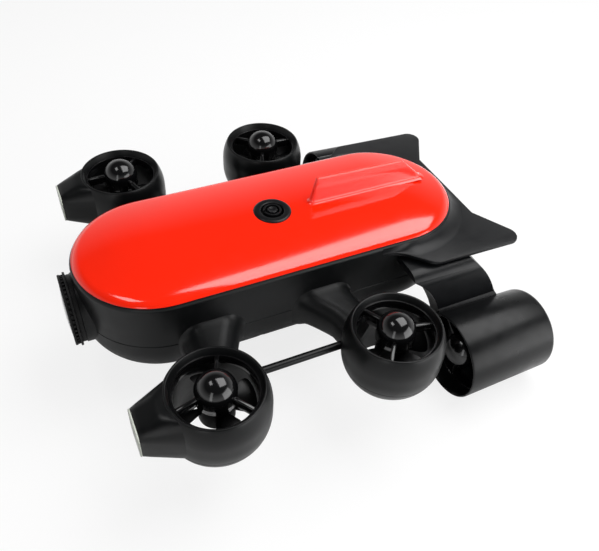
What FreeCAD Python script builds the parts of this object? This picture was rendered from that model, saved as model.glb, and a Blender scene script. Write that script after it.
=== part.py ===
import FreeCAD, Part
import os
import re
import Sketcher

# Underwater inspection vehicle with six ducted thrusters. Millimetres and degrees.
# The vehicle looks along -Y, +Z is up and +X is its left side. The origin is on the centre
# plane, midway along the vehicle, level with the lowest points of the rear ducts.

SIZES = {
    # place of the hull in the frame
    "seam_height": 121.4,
    "nose_y": -178.8,
    # glossy cover
    "cover_length": 330.0,
    "cover_half_width": 63.8,
    "cover_skirt": 0.6,
    "cover_edge_span": 6.8,
    "cover_edge_rise": 4.0,
    "cover_edge_round": 12.0,
    "crown_rise": 5.7,
    "cover_wall": 2.4,
    # hull mouldings
    "hull_rim": 1.6,
    "rim_round": 1.4,
    "hull_wall": 3.0,
    "upper_hull_depth": 45.0,
    "lower_hull_side": 12.0,
    "hull_bottom_round": 28.0,
    "seal_thickness": 1.2,
    "seal_width": 4.2,
    "seal_inset": 0.4,
    "ledge_thickness": 3.4,
    # hull screws and their posts
    "screw_rows": 4,
    "screw_inset": 8.4,
    "screw_shank_radius": 1.5,
    "screw_head_radius": 3.0,
    "screw_head_height": 2.4,
    "screw_grip": 20.0,
    "screw_bite": 9.0,
    "screw_clearance": 0.2,
    "post_radius": 5.5,
    # camera tube in the nose
    "camera_drop": 39.9,
    "neck_wall": 3.0,
    "neck_reach": 2.5,
    "neck_depth": 24.0,
    "barrel_radius": 36.6,
    "barrel_wall": 2.4,
    "barrel_length": 42.0,
    "bezel_sleeve": 3.1,
    "bezel_flange": 2.0,
    "bezel_groove": 2.2,
    "bezel_rear_radius": 42.3,
    "bezel_front_radius": 39.9,
    "bezel_groove_radius": 37.4,
    "bezel_shoulder": 2.5,
    "tooth_rise": 1.5,
    "tooth_width": 2.2,
    "tooth_count": 44,
    "window_radius": 33.0,
    "window_thickness": 3.0,
    "window_crown": 1.4,
    "lens_radius": 11.0,
    "lens_length": 16.0,
    "module_thickness": 10.0,
    # socket and power button on the cover
    "port_back": 164.5,
    "port_seat": 0.5,
    "port_flange_radius": 15.8,
    "port_flange_thickness": 1.6,
    "port_well_radius": 9.7,
    "port_well_depth": 5.0,
    "socket_wall": 1.6,
    "socket_floor": 2.4,
    "collar_radius": 7.6,
    "collar_wall": 1.6,
    "collar_rise": 7.4,
    "collar_key_width": 1.8,
    "button_radius": 4.3,
    "button_height": 5.8,
    "button_dish_radius": 2.8,
    "button_dish_depth": 0.8,
    "button_travel": 1.2,
    "button_stem_radius": 2.0,
    "button_stem_length": 7.0,
    # fin moulded on the cover
    "fin_back": 198.4,
    "fin_length": 111.0,
    "fin_top_length": 83.0,
    "fin_top_lead": 5.0,
    "fin_rise": 23.6,
    "fin_fall": 3.0,
    "fin_base_width": 6.4,
    "fin_top_width": 3.0,
    # tail plate
    "tail_half_width": 92.5,
    "tail_root_back": 236.0,
    "tail_corner_back": 272.6,
    "tail_tip_back": 369.4,
    "tail_notch_back": 341.4,
    "tail_notch_half": 43.9,
    "tail_drop": 5.5,
    "tail_thickness": 4.4,
    "tail_slope": 3.7,
    "tail_corner_round": 14.0,
    "tail_tip_round": 4.0,
    "skirt_width": 15.0,
    "skirt_height": 9.5,
    # vertical thrusters in their pods
    "pod_x": 132.4,
    "front_pod_back": 66.9,
    "rear_pod_back": 210.6,
    "pod_drop": 13.5,
    "pod_lip_width": 1.5,
    "pod_flare": 2.1,
    "pod_bulge": 4.6,
    "pod_waist": 8.0,
    "pod_parting_drop": 10.4,
    "pod_outlet_taper": 3.5,
    "pod_outlet_lip": 1.4,
    "pod_outlet_length": 9.0,
    "lift_blade_radius": 29.0,
    "lift_blade_gap": 1.0,
    "lift_throat": 5.0,
    "lift_ring_sink": 5.0,
    "lift_ring_wall": 1.6,
    "lift_ring_height": 8.0,
    "lift_hub_radius": 14.5,
    "lift_hub_height": 12.0,
    "lift_hub_drop": 1.5,
    "lift_dome_rise": 9.0,
    "lift_spoke_thickness": 2.6,
    "lift_spoke_height": 7.0,
    "lift_motor_radius": 10.0,
    "lift_motor_length": 15.0,
    "lift_bell_wall": 2.6,
    "lift_root_chord": 13.0,
    "lift_tip_chord": 25.0,
    "front_spoke_angle": 39.0,
    "rear_spoke_angle": 83.0,
    # arms to the vertical thrusters
    "arm_drop": 46.0,
    "arm_root_width": 46.0,
    "arm_root_height": 36.0,
    "arm_tip_width": 30.0,
    "arm_tip_height": 33.0,
    "arm_flare": 5.0,
    "arm_flare_length": 7.0,
    "arm_round": 10.0,
    "front_arm_sweep": 17.0,
    "rear_arm_sweep": 22.5,
    # tie rods
    "rod_x": 127.0,
    "rod_drop": 21.0,
    "rod_radius": 2.75,
    # lamps
    "lamp_back": 8.5,
    "lamp_drop": 35.5,
    "lamp_face": 28.0,
    "lamp_face_round": 7.0,
    "lamp_root_reach": 34.0,
    "lamp_root": 58.0,
    "lamp_root_round": 25.0,
    "lamp_wall": 1.8,
    "lamp_cup": 7.0,
    "lamp_lens_thickness": 1.8,
    "lamp_board_thickness": 1.6,
    "lamp_chip_radius": 3.2,
    "lamp_chip_pitch": 10.0,
    # rear thrusters
    "drive_x": 129.0,
    "drive_drop": 83.5,
    "drive_back": 274.9,
    "drive_length": 85.8,
    "drive_wall": 4.5,
    "drive_taper": 2.0,
    "drive_lip_width": 1.6,
    "drive_end_length": 5.0,
    "drive_outlet_taper": 0.9,
    "drive_outlet_lip": 1.6,
    "drive_blade_radius": 32.4,
    "drive_blade_gap": 1.0,
    "drive_throat": 7.0,
    "drive_ring_sink": 14.0,
    "drive_ring_wall": 1.2,
    "drive_ring_height": 12.0,
    "drive_hub_radius": 15.5,
    "drive_hub_height": 14.0,
    "drive_hub_drop": 12.0,
    "drive_dome_rise": 10.0,
    "drive_spoke_thickness": 2.8,
    "drive_spoke_height": 10.0,
    "drive_spoke_angle": 30.0,
    "drive_motor_radius": 10.5,
    "drive_motor_length": 22.0,
    "drive_bell_wall": 3.0,
    "drive_root_chord": 14.0,
    "drive_tip_chord": 28.0,
    # what all thrusters share
    "spoke_count": 3,
    "blade_count": 4,
    "blade_thickness": 1.8,
    "blade_edge": 0.7,
    "blade_camber": 1.6,
    "blade_root_pitch": 46.0,
    "blade_tip_pitch": 27.0,
    "shaft_radius": 2.0,
    "shaft_clearance": 0.05,
    "bearing_depth": 9.0,
    "rotor_gap": 0.6,
    "bell_air_gap": 0.7,
    "bell_floor": 2.4,
    "tail_cone_rise": 6.0,
    "motor_flange": 1.6,
    "motor_slots": 9,
    "motor_slot_width": 2.0,
    "motor_slot_depth": 3.0,
    # pylons of the rear thrusters
    "pylon_top_drop": 14.0,
    "pylon_root_drop": 56.0,
    "pylon_shoulder_x": 80.0,
    "pylon_shoulder_round": 16.0,
    "pylon_foot_x": 101.0,
    "pylon_arch_round": 34.0,
    "pylon_front_back": 252.0,
    "pylon_front_sweep": 27.0,
    "pylon_front_round": 60.0,
    "pylon_rear_back": 304.0,
    "pylon_rear_sweep": 42.0,
    "pylon_edge_round": 4.0,
    # what the hull holds
    "battery_width": 62.0,
    "battery_length": 150.0,
    "battery_height": 30.0,
    "battery_round": 4.0,
    "battery_back": 105.0,
    "board_width": 58.0,
    "board_length": 110.0,
    "board_thickness": 1.6,
    "standoff_height": 6.0,
    "standoff_radius": 3.0,
    "chip_height": 4.0,
    "chip_width": 22.0,
}

WORD = re.compile(r"[a-z][a-z0-9_]*")

doc = FreeCAD.newDocument("inspection_vehicle")
sheet = doc.addObject("Spreadsheet::Sheet", "Sizes")
scratch = doc.addObject("Spreadsheet::Sheet", "Scratch")
for row, (size_name, size_value) in enumerate(SIZES.items(), start=1):
    sheet.set("A%d" % row, size_name)
    sheet.set("B%d" % row, str(size_value))
    sheet.setAlias("B%d" % row, size_name)
doc.recompute()

pieces = []


def formula(text):
    """The formula with each size name pointed at its cell of the sheet."""
    return WORD.sub(lambda word: "Sizes." + word[0] if word[0] in SIZES else word[0], text)


def number(text):
    """What a formula of sizes comes to."""
    scratch.set("A1", "=" + formula(text))
    scratch.recompute()
    return float(scratch.get("A1"))


def bind(item, prop, text):
    item.setExpression(prop, formula(text))


def keep(item, label):
    """Names a finished sub-part, which is then written out."""
    item.Label = label
    pieces.append(item)
    return item


def new_body(label):
    body = doc.addObject("PartDesign::Body", label)
    body.Label = label
    return body


def origin_plane(body, role):
    return next(item for item in body.Origin.OriginFeatures if item.Role == role)


def new_sketch(body, plane, offset=None):
    """A sketch on one of the body's own origin planes, moved along the plane's normal."""
    sketch = body.newObject("Sketcher::SketchObject", "Sketch")
    sketch.AttachmentSupport = [(origin_plane(body, plane), "")]
    sketch.MapMode = "FlatFace"
    if offset:
        bind(sketch, "AttachmentOffset.Base.z", offset)
    return sketch


def pin_point(sketch, curve, point, across, up):
    """Holds one point of a curve at two formulas measured from the sketch's origin."""
    for kind, text in (("DistanceX", across), ("DistanceY", up)):
        index = sketch.addConstraint(Sketcher.Constraint(kind, -1, 1, curve, point, number(text)))
        sketch.setExpression("Constraints[%d]" % index, formula(text))


def bind_radius(sketch, curve, text):
    index = sketch.addConstraint(Sketcher.Constraint("Radius", curve, number(text)))
    sketch.setExpression("Constraints[%d]" % index, formula(text))


def arc_between(start, end, radius):
    """The short arc between two points; a positive radius turns to the left."""
    chord = end - start
    side = FreeCAD.Vector(-chord.y, chord.x, 0).normalize() * (1 if radius > 0 else -1)
    height = max(radius * radius - chord.Length ** 2 / 4, 0) ** 0.5
    middle = (start + end) / 2 + side * (height - abs(radius))
    return Part.Arc(start, middle, end)


def outline(sketch, corners):
    """Closed outline. A corner is (across, up), or (across, up, radius) where an arc leads to it."""
    points = [FreeCAD.Vector(number(corner[0]), number(corner[1]), 0) for corner in corners]
    first = sketch.GeometryCount
    for index, corner in enumerate(corners):
        start = points[index - 1]
        end = points[index]
        if len(corner) == 3:
            sketch.addGeometry(arc_between(start, end, number(corner[2])))
        else:
            sketch.addGeometry(Part.LineSegment(start, end))
    ends = [2] * len(corners)
    starts = [1] * len(corners)
    for index, corner in enumerate(corners):
        if len(corner) == 3 and number(corner[2]) < 0:
            ends[index] = 1
            starts[index] = 2
    for index, corner in enumerate(corners):
        following = (index + 1) % len(corners)
        sketch.addConstraint(Sketcher.Constraint("Coincident", first + index, ends[index],
                                                 first + following, starts[following]))
        pin_point(sketch, first + index, ends[index], corner[0], corner[1])
        if len(corner) == 3:
            bind_radius(sketch, first + index, corner[2].lstrip("-"))
    return sketch


def disc(sketch, across, up, radius):
    circle = Part.Circle(FreeCAD.Vector(number(across), number(up), 0), FreeCAD.Vector(0, 0, 1),
                         number(radius))
    curve = sketch.addGeometry(circle)
    pin_point(sketch, curve, 3, across, up)
    bind_radius(sketch, curve, radius)
    return sketch


def rounded_box(sketch, across, up, width, height, corner):
    """A rectangle about a centre, with its corners rounded."""
    left, right = "%s - (%s) / 2" % (across, width), "%s + (%s) / 2" % (across, width)
    low, high = "%s - (%s) / 2" % (up, height), "%s + (%s) / 2" % (up, height)
    inward, outward = " + (%s)" % corner, " - (%s)" % corner
    return outline(sketch, [
        (right + outward, low),
        (right, low + inward, corner),
        (right, high + outward),
        (right + outward, high, corner),
        (left + inward, high),
        (left, high + outward, corner),
        (left, low + inward),
        (left + inward, low, corner),
    ])


def pad(body, sketch, length, reverse=False, both_ways=False):
    feature = body.newObject("PartDesign::Pad", "Pad")
    feature.Profile = sketch
    feature.Reversed = reverse
    if both_ways:
        feature.SideType = "Symmetric"
    bind(feature, "Length", length)
    return feature


def pocket(body, sketch, length, reverse=False, both_ways=False):
    feature = body.newObject("PartDesign::Pocket", "Pocket")
    feature.Profile = sketch
    feature.Reversed = reverse
    if both_ways:
        feature.SideType = "Symmetric"
    bind(feature, "Length", length)
    return feature


def turn(body, sketch, axis="V_Axis", angle=360, reverse=False, kind="Revolution"):
    """A profile turned about an axis of its own sketch."""
    feature = body.newObject("PartDesign::" + kind, kind)
    feature.Profile = sketch
    feature.ReferenceAxis = (sketch, [axis])
    feature.Angle = angle
    feature.Reversed = reverse
    return feature


def round_pattern(body, feature, axis, count):
    pattern = body.newObject("PartDesign::PolarPattern", "PolarPattern")
    pattern.Originals = [feature]
    pattern.Axis = axis
    pattern.Angle = 360
    bind(pattern, "Occurrences", count)
    body.Tip = pattern
    return pattern


def round_edges(body, feature, radius, chosen):
    """Rounds the edges of the body's last feature that the test picks."""
    doc.recompute()
    names = ["Edge%d" % (index + 1) for index, edge in enumerate(feature.Shape.Edges) if chosen(edge)]
    fillet = body.newObject("PartDesign::Fillet", "Fillet")
    fillet.Base = (feature, names)
    bind(fillet, "Radius", radius)
    return fillet


def place(item, across="0", along="0", up="0"):
    bind(item, "Placement.Base.x", across)
    bind(item, "Placement.Base.y", along)
    bind(item, "Placement.Base.z", up)
    return item


def trimmed(item, tools, label):
    """The item with the room of other pieces cut away from it."""
    for tool in tools:
        cut = doc.addObject("Part::Cut", "Cut")
        cut.Base = item
        cut.Tool = tool
        item = cut
    item.Label = label
    return item


def mirrored(item, label):
    """The same piece for the right side."""
    mirror = doc.addObject("Part::Mirroring", "Mirror")
    mirror.Source = item
    mirror.Normal = FreeCAD.Vector(1, 0, 0)
    return keep(mirror, label)


def both_sides(item, label):
    keep(item, "left_" + label)
    mirrored(item, "right_" + label)


# Formulas that several pieces share.
HULL_HALF = "(cover_half_width + hull_rim)"
FRONT_CENTRE = "(nose_y + cover_half_width)"
REAR_CENTRE = "(nose_y + cover_length - cover_half_width)"
STRAIGHT = "(cover_length - 2 * cover_half_width)"
SHOULDER = "(seam_height + cover_skirt + cover_edge_rise)"
COVER_TOP = "(seam_height + cover_skirt + cover_edge_rise + crown_rise)"
PARTING = "(seam_height - upper_hull_depth)"
ROUND_START = "(seam_height - upper_hull_depth - lower_hull_side)"
FLOOR = "(seam_height - upper_hull_depth - lower_hull_side - hull_bottom_round)"
SEAL_OUTER = "(cover_half_width - seal_inset)"
CAMERA_UP = "(seam_height - camera_drop)"
NECK_RADIUS = "(barrel_radius + neck_wall)"
BEZEL_FRONT = "(neck_reach + bezel_sleeve + 2 * bezel_flange + bezel_groove)"
SCREW_X = "(cover_half_width + hull_rim - screw_inset)"
SCREW_SEAT = "(seam_height - upper_hull_depth - screw_grip)"
PORT_TOP = "(seam_height + cover_skirt + cover_edge_rise + crown_rise - port_seat)"
PORT_FLOOR = "(seam_height + cover_skirt + cover_edge_rise + crown_rise - port_seat - port_well_depth)"
SOCKET_RADIUS = "(port_well_radius + socket_wall)"
POD_UP = "(seam_height - pod_drop)"
POD_LIP = "(lift_blade_radius + lift_blade_gap + lift_ring_wall + pod_flare + pod_lip_width)"
POD_RADIUS = "(lift_blade_radius + lift_blade_gap + lift_ring_wall + pod_flare + pod_lip_width + pod_bulge)"
POD_EQUATOR = "sqrt(" + POD_RADIUS + " ^ 2 - " + POD_LIP + " ^ 2)"
POD_WAIST = "(" + POD_EQUATOR + " + pod_waist)"
POD_PARTING = "(" + POD_WAIST + " + pod_parting_drop)"
POD_PARTING_RADIUS = "sqrt(" + POD_RADIUS + " ^ 2 - pod_parting_drop ^ 2)"
POD_OUTLET = "(lift_blade_radius + lift_blade_gap - pod_outlet_taper)"
POD_END_RADIUS = "(" + POD_OUTLET + " + pod_outlet_lip)"
POD_HEIGHT = "(" + POD_WAIST + " + sqrt(" + POD_RADIUS + " ^ 2 - " + POD_END_RADIUS + " ^ 2))"
DRIVE_UP = "(seam_height - drive_drop)"
DRIVE_DUCT = "(drive_blade_radius + drive_blade_gap)"
DRIVE_FRONT = "(drive_blade_radius + drive_blade_gap + drive_wall)"
DRIVE_REAR = "(drive_blade_radius + drive_blade_gap + drive_wall - drive_taper)"


def cap_radius(half, rise):
    """Radius of the arc that rises by rise over half a chord."""
    return "((%s) ^ 2 + (%s) ^ 2) / (2 * (%s))" % (half, rise, rise)


def boat(body, corners):
    """Half a section carried round a boat-shaped plan: straight sides and two round ends."""
    front = outline(new_sketch(body, "XZ_Plane", "-" + FRONT_CENTRE), corners)
    turn(body, front, angle=180, reverse=True)
    rear = outline(new_sketch(body, "XZ_Plane", "-" + REAR_CENTRE), corners)
    turn(body, rear, angle=180)
    side = outline(new_sketch(body, "XZ_Plane", "-" + FRONT_CENTRE), corners)
    straight = pad(body, side, STRAIGHT, reverse=True)
    other = body.newObject("PartDesign::Mirrored", "Mirrored")
    other.Originals = [straight]
    other.MirrorPlane = (origin_plane(body, "YZ_Plane"), [""])
    body.Tip = other
    return other


def top_cover():
    """Crowned shell with the swept fin moulded on it and a hole for the socket."""
    body = new_body("top_cover")
    crown = cap_radius("cover_half_width - cover_edge_span", "crown_rise")
    boat(body, [
        ("0", COVER_TOP + " - cover_wall"),
        ("cover_half_width - cover_edge_span - cover_wall / 5", SHOULDER + " - cover_wall",
         "-(" + crown + ")"),
        ("cover_half_width - cover_wall", "seam_height + cover_skirt", "-(cover_edge_round - cover_wall)"),
        ("cover_half_width - cover_wall", "seam_height"),
        ("cover_half_width", "seam_height"),
        ("cover_half_width", "seam_height + cover_skirt"),
        ("cover_half_width - cover_edge_span", SHOULDER, "cover_edge_round"),
        ("0", COVER_TOP, crown),
    ])
    foot = new_sketch(body, "XY_Plane", COVER_TOP + " - cover_wall / 2")
    rounded_box(foot, "0", "nose_y + fin_back + fin_length / 2", "fin_base_width", "fin_length",
                "fin_base_width * 0.45")
    head = new_sketch(body, "XY_Plane", COVER_TOP + " + fin_rise")
    rounded_box(head, "0", "nose_y + fin_back + fin_top_lead + fin_top_length / 2", "fin_top_width",
                "fin_top_length", "fin_top_width * 0.45")
    loft = body.newObject("PartDesign::AdditiveLoft", "AdditiveLoft")
    loft.Profile = foot
    loft.Sections = [head]
    loft.Ruled = True
    slope = outline(new_sketch(body, "YZ_Plane"), [
        ("nose_y + fin_back", COVER_TOP + " + fin_rise"),
        ("nose_y + fin_back + fin_length", COVER_TOP + " + fin_rise - fin_fall"),
        ("nose_y + fin_back + fin_length", COVER_TOP + " + fin_rise + 1"),
        ("nose_y + fin_back", COVER_TOP + " + fin_rise + 1"),
    ])
    pocket(body, slope, "2 * fin_base_width", both_ways=True)
    seat = disc(new_sketch(body, "XY_Plane", PORT_TOP), "0", "nose_y + port_back", "port_flange_radius")
    pocket(body, seat, "2 * port_seat", reverse=True)
    hole = disc(new_sketch(body, "XY_Plane", COVER_TOP), "0", "nose_y + port_back", SOCKET_RADIUS)
    pocket(body, hole, "2 * cover_wall")
    return keep(body, "top_cover")


def cover_seal():
    body = new_body("cover_seal")
    boat(body, [
        (SEAL_OUTER + " - seal_width", "seam_height - seal_thickness"),
        (SEAL_OUTER, "seam_height - seal_thickness"),
        (SEAL_OUTER, "seam_height"),
        (SEAL_OUTER + " - seal_width", "seam_height"),
    ])
    return keep(body, "cover_seal")


def neck(body, keep_above):
    """Round neck for the camera tube, half of it in each hull moulding."""
    length = "neck_reach + neck_depth"
    front = "neck_reach - nose_y"
    ring = disc(new_sketch(body, "XZ_Plane", front), "0", CAMERA_UP, NECK_RADIUS)
    pad(body, ring, length, reverse=True)
    far = PARTING + (" - 2 * " if keep_above else " + 2 * ") + NECK_RADIUS
    low, high = (far, PARTING) if keep_above else (PARTING, far)
    waste = outline(new_sketch(body, "XZ_Plane", front), [
        ("-" + NECK_RADIUS + " - 1", low),
        (NECK_RADIUS + " + 1", low),
        (NECK_RADIUS + " + 1", high),
        ("-" + NECK_RADIUS + " - 1", high),
    ])
    pocket(body, waste, length)
    bore = disc(new_sketch(body, "XZ_Plane", front), "0", CAMERA_UP, "barrel_radius")
    return pocket(body, bore, length)


def at_each_post(body, plane_height, radius, length, action, reverse=False):
    """The same round feature at every screw post, on both sides of the hull."""
    sketch = new_sketch(body, "XY_Plane", plane_height)
    for row in range(SIZES["screw_rows"]):
        along = FRONT_CENTRE + " + " + STRAIGHT + " * %d / (screw_rows - 1)" % row
        disc(sketch, SCREW_X, along, radius)
        disc(sketch, "-" + SCREW_X, along, radius)
    return action(body, sketch, length, reverse=reverse)


def upper_hull():
    """Side walls with the ledge for the cover's seal and the bosses that the screws bite."""
    body = new_body("upper_hull")
    wall_inside = HULL_HALF + " - hull_wall"
    ledge_inside = SEAL_OUTER + " - seal_width - 0.6"
    ledge_low = "seam_height - seal_thickness - ledge_thickness"
    boat(body, [
        (wall_inside, PARTING),
        (HULL_HALF, PARTING),
        (HULL_HALF, "seam_height - rim_round"),
        (HULL_HALF + " - rim_round", "seam_height", "rim_round"),
        (SEAL_OUTER, "seam_height"),
        (SEAL_OUTER, "seam_height - seal_thickness"),
        (ledge_inside, "seam_height - seal_thickness"),
        (ledge_inside, ledge_low),
        (wall_inside, ledge_low + " - (" + wall_inside + ") + (" + ledge_inside + ")"),
    ])
    at_each_post(body, PARTING, "post_radius", "screw_bite + 4", pad)
    at_each_post(body, PARTING, "screw_shank_radius", "screw_bite", pocket, reverse=True)
    neck(body, keep_above=True)
    seat = disc(new_sketch(body, "XY_Plane", "seam_height"), "0", FRONT_CENTRE, SEAL_OUTER)
    pocket(body, seat, "seal_thickness")
    return keep(body, "upper_hull")


def lower_hull():
    """Belly pan with the screw posts, sunk seats for their heads and the lower half of the neck."""
    body = new_body("lower_hull")
    boat(body, [
        ("0", FLOOR),
        (HULL_HALF + " - hull_bottom_round", FLOOR),
        (HULL_HALF, ROUND_START, "hull_bottom_round"),
        (HULL_HALF, PARTING),
        (HULL_HALF + " - hull_wall", PARTING),
        (HULL_HALF + " - hull_wall", ROUND_START),
        (HULL_HALF + " - hull_bottom_round", FLOOR + " + hull_wall", "-(hull_bottom_round - hull_wall)"),
        ("0", FLOOR + " + hull_wall"),
    ])
    at_each_post(body, PARTING, "post_radius", "screw_grip + hull_wall", pad, reverse=True)
    at_each_post(body, PARTING, "screw_shank_radius + screw_clearance", "screw_grip + 1", pocket)
    at_each_post(body, SCREW_SEAT, "screw_head_radius + screw_clearance", "hull_bottom_round", pocket)
    neck(body, keep_above=False)
    return keep(body, "lower_hull")


def hull_screws():
    """Pan-head screws, put in from below, that clamp the two hull mouldings."""
    solids = []
    for row in range(SIZES["screw_rows"]):
        along = FRONT_CENTRE + " + " + STRAIGHT + " * %d / (screw_rows - 1)" % row
        for across in (SCREW_X, "-" + SCREW_X):
            head = doc.addObject("Part::Cylinder", "ScrewHead")
            bind(head, "Radius", "screw_head_radius")
            bind(head, "Height", "screw_head_height")
            place(head, across, along, SCREW_SEAT + " - screw_head_height")
            shank = doc.addObject("Part::Cylinder", "ScrewShank")
            bind(shank, "Radius", "screw_shank_radius")
            bind(shank, "Height", "screw_grip + screw_bite - 1")
            place(shank, across, along, SCREW_SEAT)
            screw = doc.addObject("Part::Fuse", "Screw")
            screw.Base = head
            screw.Tool = shank
            solids.append(screw)
    group = doc.addObject("Part::Compound", "ScrewGroup")
    group.Links = solids
    return keep(group, "hull_screws")


def tail_fin():
    """Swept tail plate that wraps the stern, with a hollow skirt rising to the hull's rim."""
    body = new_body("tail_fin")
    corner_y = "nose_y + tail_corner_back"
    root = "tail_root_back - tail_corner_back"
    tip = "tail_tip_back - tail_corner_back"
    notch = "tail_notch_back - tail_corner_back"
    plan = new_sketch(body, "XY_Plane")
    plan.AttachmentOffset = FreeCAD.Placement(FreeCAD.Vector(), FreeCAD.Rotation(FreeCAD.Vector(-1, 0, 0), 1))
    bind(plan, "AttachmentOffset.Base.y", corner_y)
    bind(plan, "AttachmentOffset.Base.z", "seam_height - tail_drop")
    bind(plan, "AttachmentOffset.Rotation.Angle", "tail_slope")
    root_half = "tail_half_width - (tail_corner_back - tail_root_back)"
    outline(plan, [
        ("-(" + root_half + ")", root),
        (root_half, root),
        ("tail_half_width", "0"),
        ("tail_half_width", tip),
        ("tail_notch_half", notch),
        ("-tail_notch_half", notch),
        ("-tail_half_width", tip),
        ("-tail_half_width", "0"),
    ])
    plate = pad(body, plan, "tail_thickness", reverse=True)
    round_edges(body, plate, "tail_corner_round", lambda edge: upright_at(edge, "tail_half_width", corner_y))
    round_edges(body, body.Tip, "tail_tip_round",
                lambda edge: upright_at(edge, "tail_half_width", "nose_y + tail_tip_back"))
    skirt = [
        (HULL_HALF + " - 1", "seam_height - skirt_height - 1.5"),
        (HULL_HALF + " + skirt_width", "seam_height - skirt_height - 1.5"),
        (HULL_HALF + " + skirt_width", "seam_height - skirt_height"),
        (HULL_HALF, "seam_height - rim_round", "-(" + cap_radius("skirt_width", "skirt_height") + ")"),
        (HULL_HALF + " - 1", "seam_height - rim_round"),
    ]
    stern = outline(new_sketch(body, "XZ_Plane", "-" + REAR_CENTRE), skirt)
    turn(body, stern, angle=180)
    side = outline(new_sketch(body, "XZ_Plane", "-" + REAR_CENTRE), skirt)
    run = pad(body, side, REAR_CENTRE + " - nose_y - tail_root_back")
    other = body.newObject("PartDesign::Mirrored", "Mirrored")
    other.Originals = [run]
    other.MirrorPlane = (origin_plane(body, "YZ_Plane"), [""])
    body.Tip = other
    lead = new_sketch(body, "XY_Plane", "seam_height")
    for side_sign in ("", "-"):
        outline(lead, [
            (side_sign + "(" + root_half + ")", "nose_y + tail_root_back"),
            (side_sign + "(tail_half_width + 1)", corner_y + " + 1"),
            (side_sign + "(tail_half_width + 1)", "nose_y + tail_root_back - 1"),
            (side_sign + "(" + root_half + ")", "nose_y + tail_root_back - 1"),
        ])
    pocket(body, lead, "2 * skirt_height + 2 * tail_thickness")
    stern_room = disc(new_sketch(body, "XY_Plane", "seam_height"), "0", REAR_CENTRE, HULL_HALF)
    pocket(body, stern_room, "upper_hull_depth")
    hull_room = outline(new_sketch(body, "XY_Plane", "seam_height"), [
        ("-" + HULL_HALF, "nose_y + tail_root_back - 5"),
        (HULL_HALF, "nose_y + tail_root_back - 5"),
        (HULL_HALF, REAR_CENTRE),
        ("-" + HULL_HALF, REAR_CENTRE),
    ])
    pocket(body, hull_room, "upper_hull_depth")
    return keep(body, "tail_fin")


def upright_at(edge, across, along):
    """True for a short upright edge on either side at the given distance from the centre plane."""
    middle = edge.CenterOfMass
    upright = edge.BoundBox.ZLength > 0.8 * edge.Length
    return upright and abs(abs(middle.x) - number(across)) < 1 and abs(middle.y - number(along)) < 1.5


def camera_barrel():
    body = new_body("camera_barrel")
    outline_sketch = outline(new_sketch(body, "YZ_Plane"), [
        ("-neck_reach", "barrel_radius - barrel_wall"),
        ("barrel_length - barrel_wall", "barrel_radius - barrel_wall"),
        ("barrel_length - barrel_wall", "0"),
        ("barrel_length", "0"),
        ("barrel_length", "barrel_radius"),
        ("-neck_reach", "barrel_radius"),
    ])
    turn(body, outline_sketch, axis="H_Axis")
    place(body, along="nose_y", up=CAMERA_UP)
    return keep(body, "camera_barrel")


def camera_bezel():
    """Front ring with two flanges and a row of grip teeth in the groove between them."""
    body = new_body("camera_bezel")
    front = "-" + BEZEL_FRONT
    groove_front = front + " + bezel_flange"
    groove_back = groove_front + " + bezel_groove"
    sleeve_front = groove_back + " + bezel_flange"
    shoulder_radius = "window_radius - bezel_shoulder"
    section = outline(new_sketch(body, "YZ_Plane"), [
        (front, "window_radius"),
        (front + " + window_thickness", "window_radius"),
        (front + " + window_thickness", shoulder_radius),
        ("-neck_reach", shoulder_radius),
        ("-neck_reach", "bezel_groove_radius + 1"),
        (sleeve_front, "bezel_groove_radius + 1"),
        (sleeve_front, "bezel_rear_radius"),
        (groove_back, "bezel_rear_radius"),
        (groove_back, "bezel_groove_radius"),
        (groove_front, "bezel_groove_radius"),
        (groove_front, "bezel_front_radius"),
        (front, "bezel_front_radius"),
    ])
    turn(body, section, axis="H_Axis")
    tooth = outline(new_sketch(body, "XZ_Plane", "-(" + groove_back + ")"), [
        ("-tooth_width / 2", "bezel_groove_radius - 1"),
        ("tooth_width / 2", "bezel_groove_radius - 1"),
        ("tooth_width / 2", "bezel_groove_radius + tooth_rise"),
        ("-tooth_width / 2", "bezel_groove_radius + tooth_rise"),
    ])
    round_pattern(body, pad(body, tooth, "bezel_groove"), (tooth, ["N_Axis"]), "tooth_count")
    place(body, along="nose_y", up=CAMERA_UP)
    return keep(body, "camera_bezel")


def camera_window():
    body = new_body("camera_window")
    front = "-" + BEZEL_FRONT
    section = outline(new_sketch(body, "YZ_Plane"), [
        (front + " - window_crown", "0"),
        (front + " + window_thickness", "0"),
        (front + " + window_thickness", "window_radius"),
        (front, "window_radius"),
        (front + " - window_crown", "0", cap_radius("window_radius", "window_crown")),
    ][1:])
    turn(body, section, axis="H_Axis")
    place(body, along="nose_y", up=CAMERA_UP)
    return keep(body, "camera_window")


def camera_module():
    """Round carrier board across the tube, with the camera block and its lens barrel on it."""
    body = new_body("camera_module")
    back = "barrel_length - barrel_wall"
    inside = "barrel_radius - barrel_wall"
    section = outline(new_sketch(body, "YZ_Plane"), [
        (back, "0"),
        (back, inside),
        (back + " - 2", inside),
        (back + " - 2", "lens_radius * 1.6"),
        (back + " - module_thickness", "lens_radius * 1.6"),
        (back + " - module_thickness", "lens_radius"),
        (back + " - module_thickness - lens_length", "lens_radius"),
        (back + " - module_thickness - lens_length", "lens_radius * 0.7"),
        (back + " - module_thickness - lens_length * 0.7", "lens_radius * 0.4"),
        (back + " - module_thickness - lens_length * 0.7", "0"),
    ])
    turn(body, section, axis="H_Axis")
    place(body, along="nose_y", up=CAMERA_UP)
    return keep(body, "camera_module")


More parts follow.
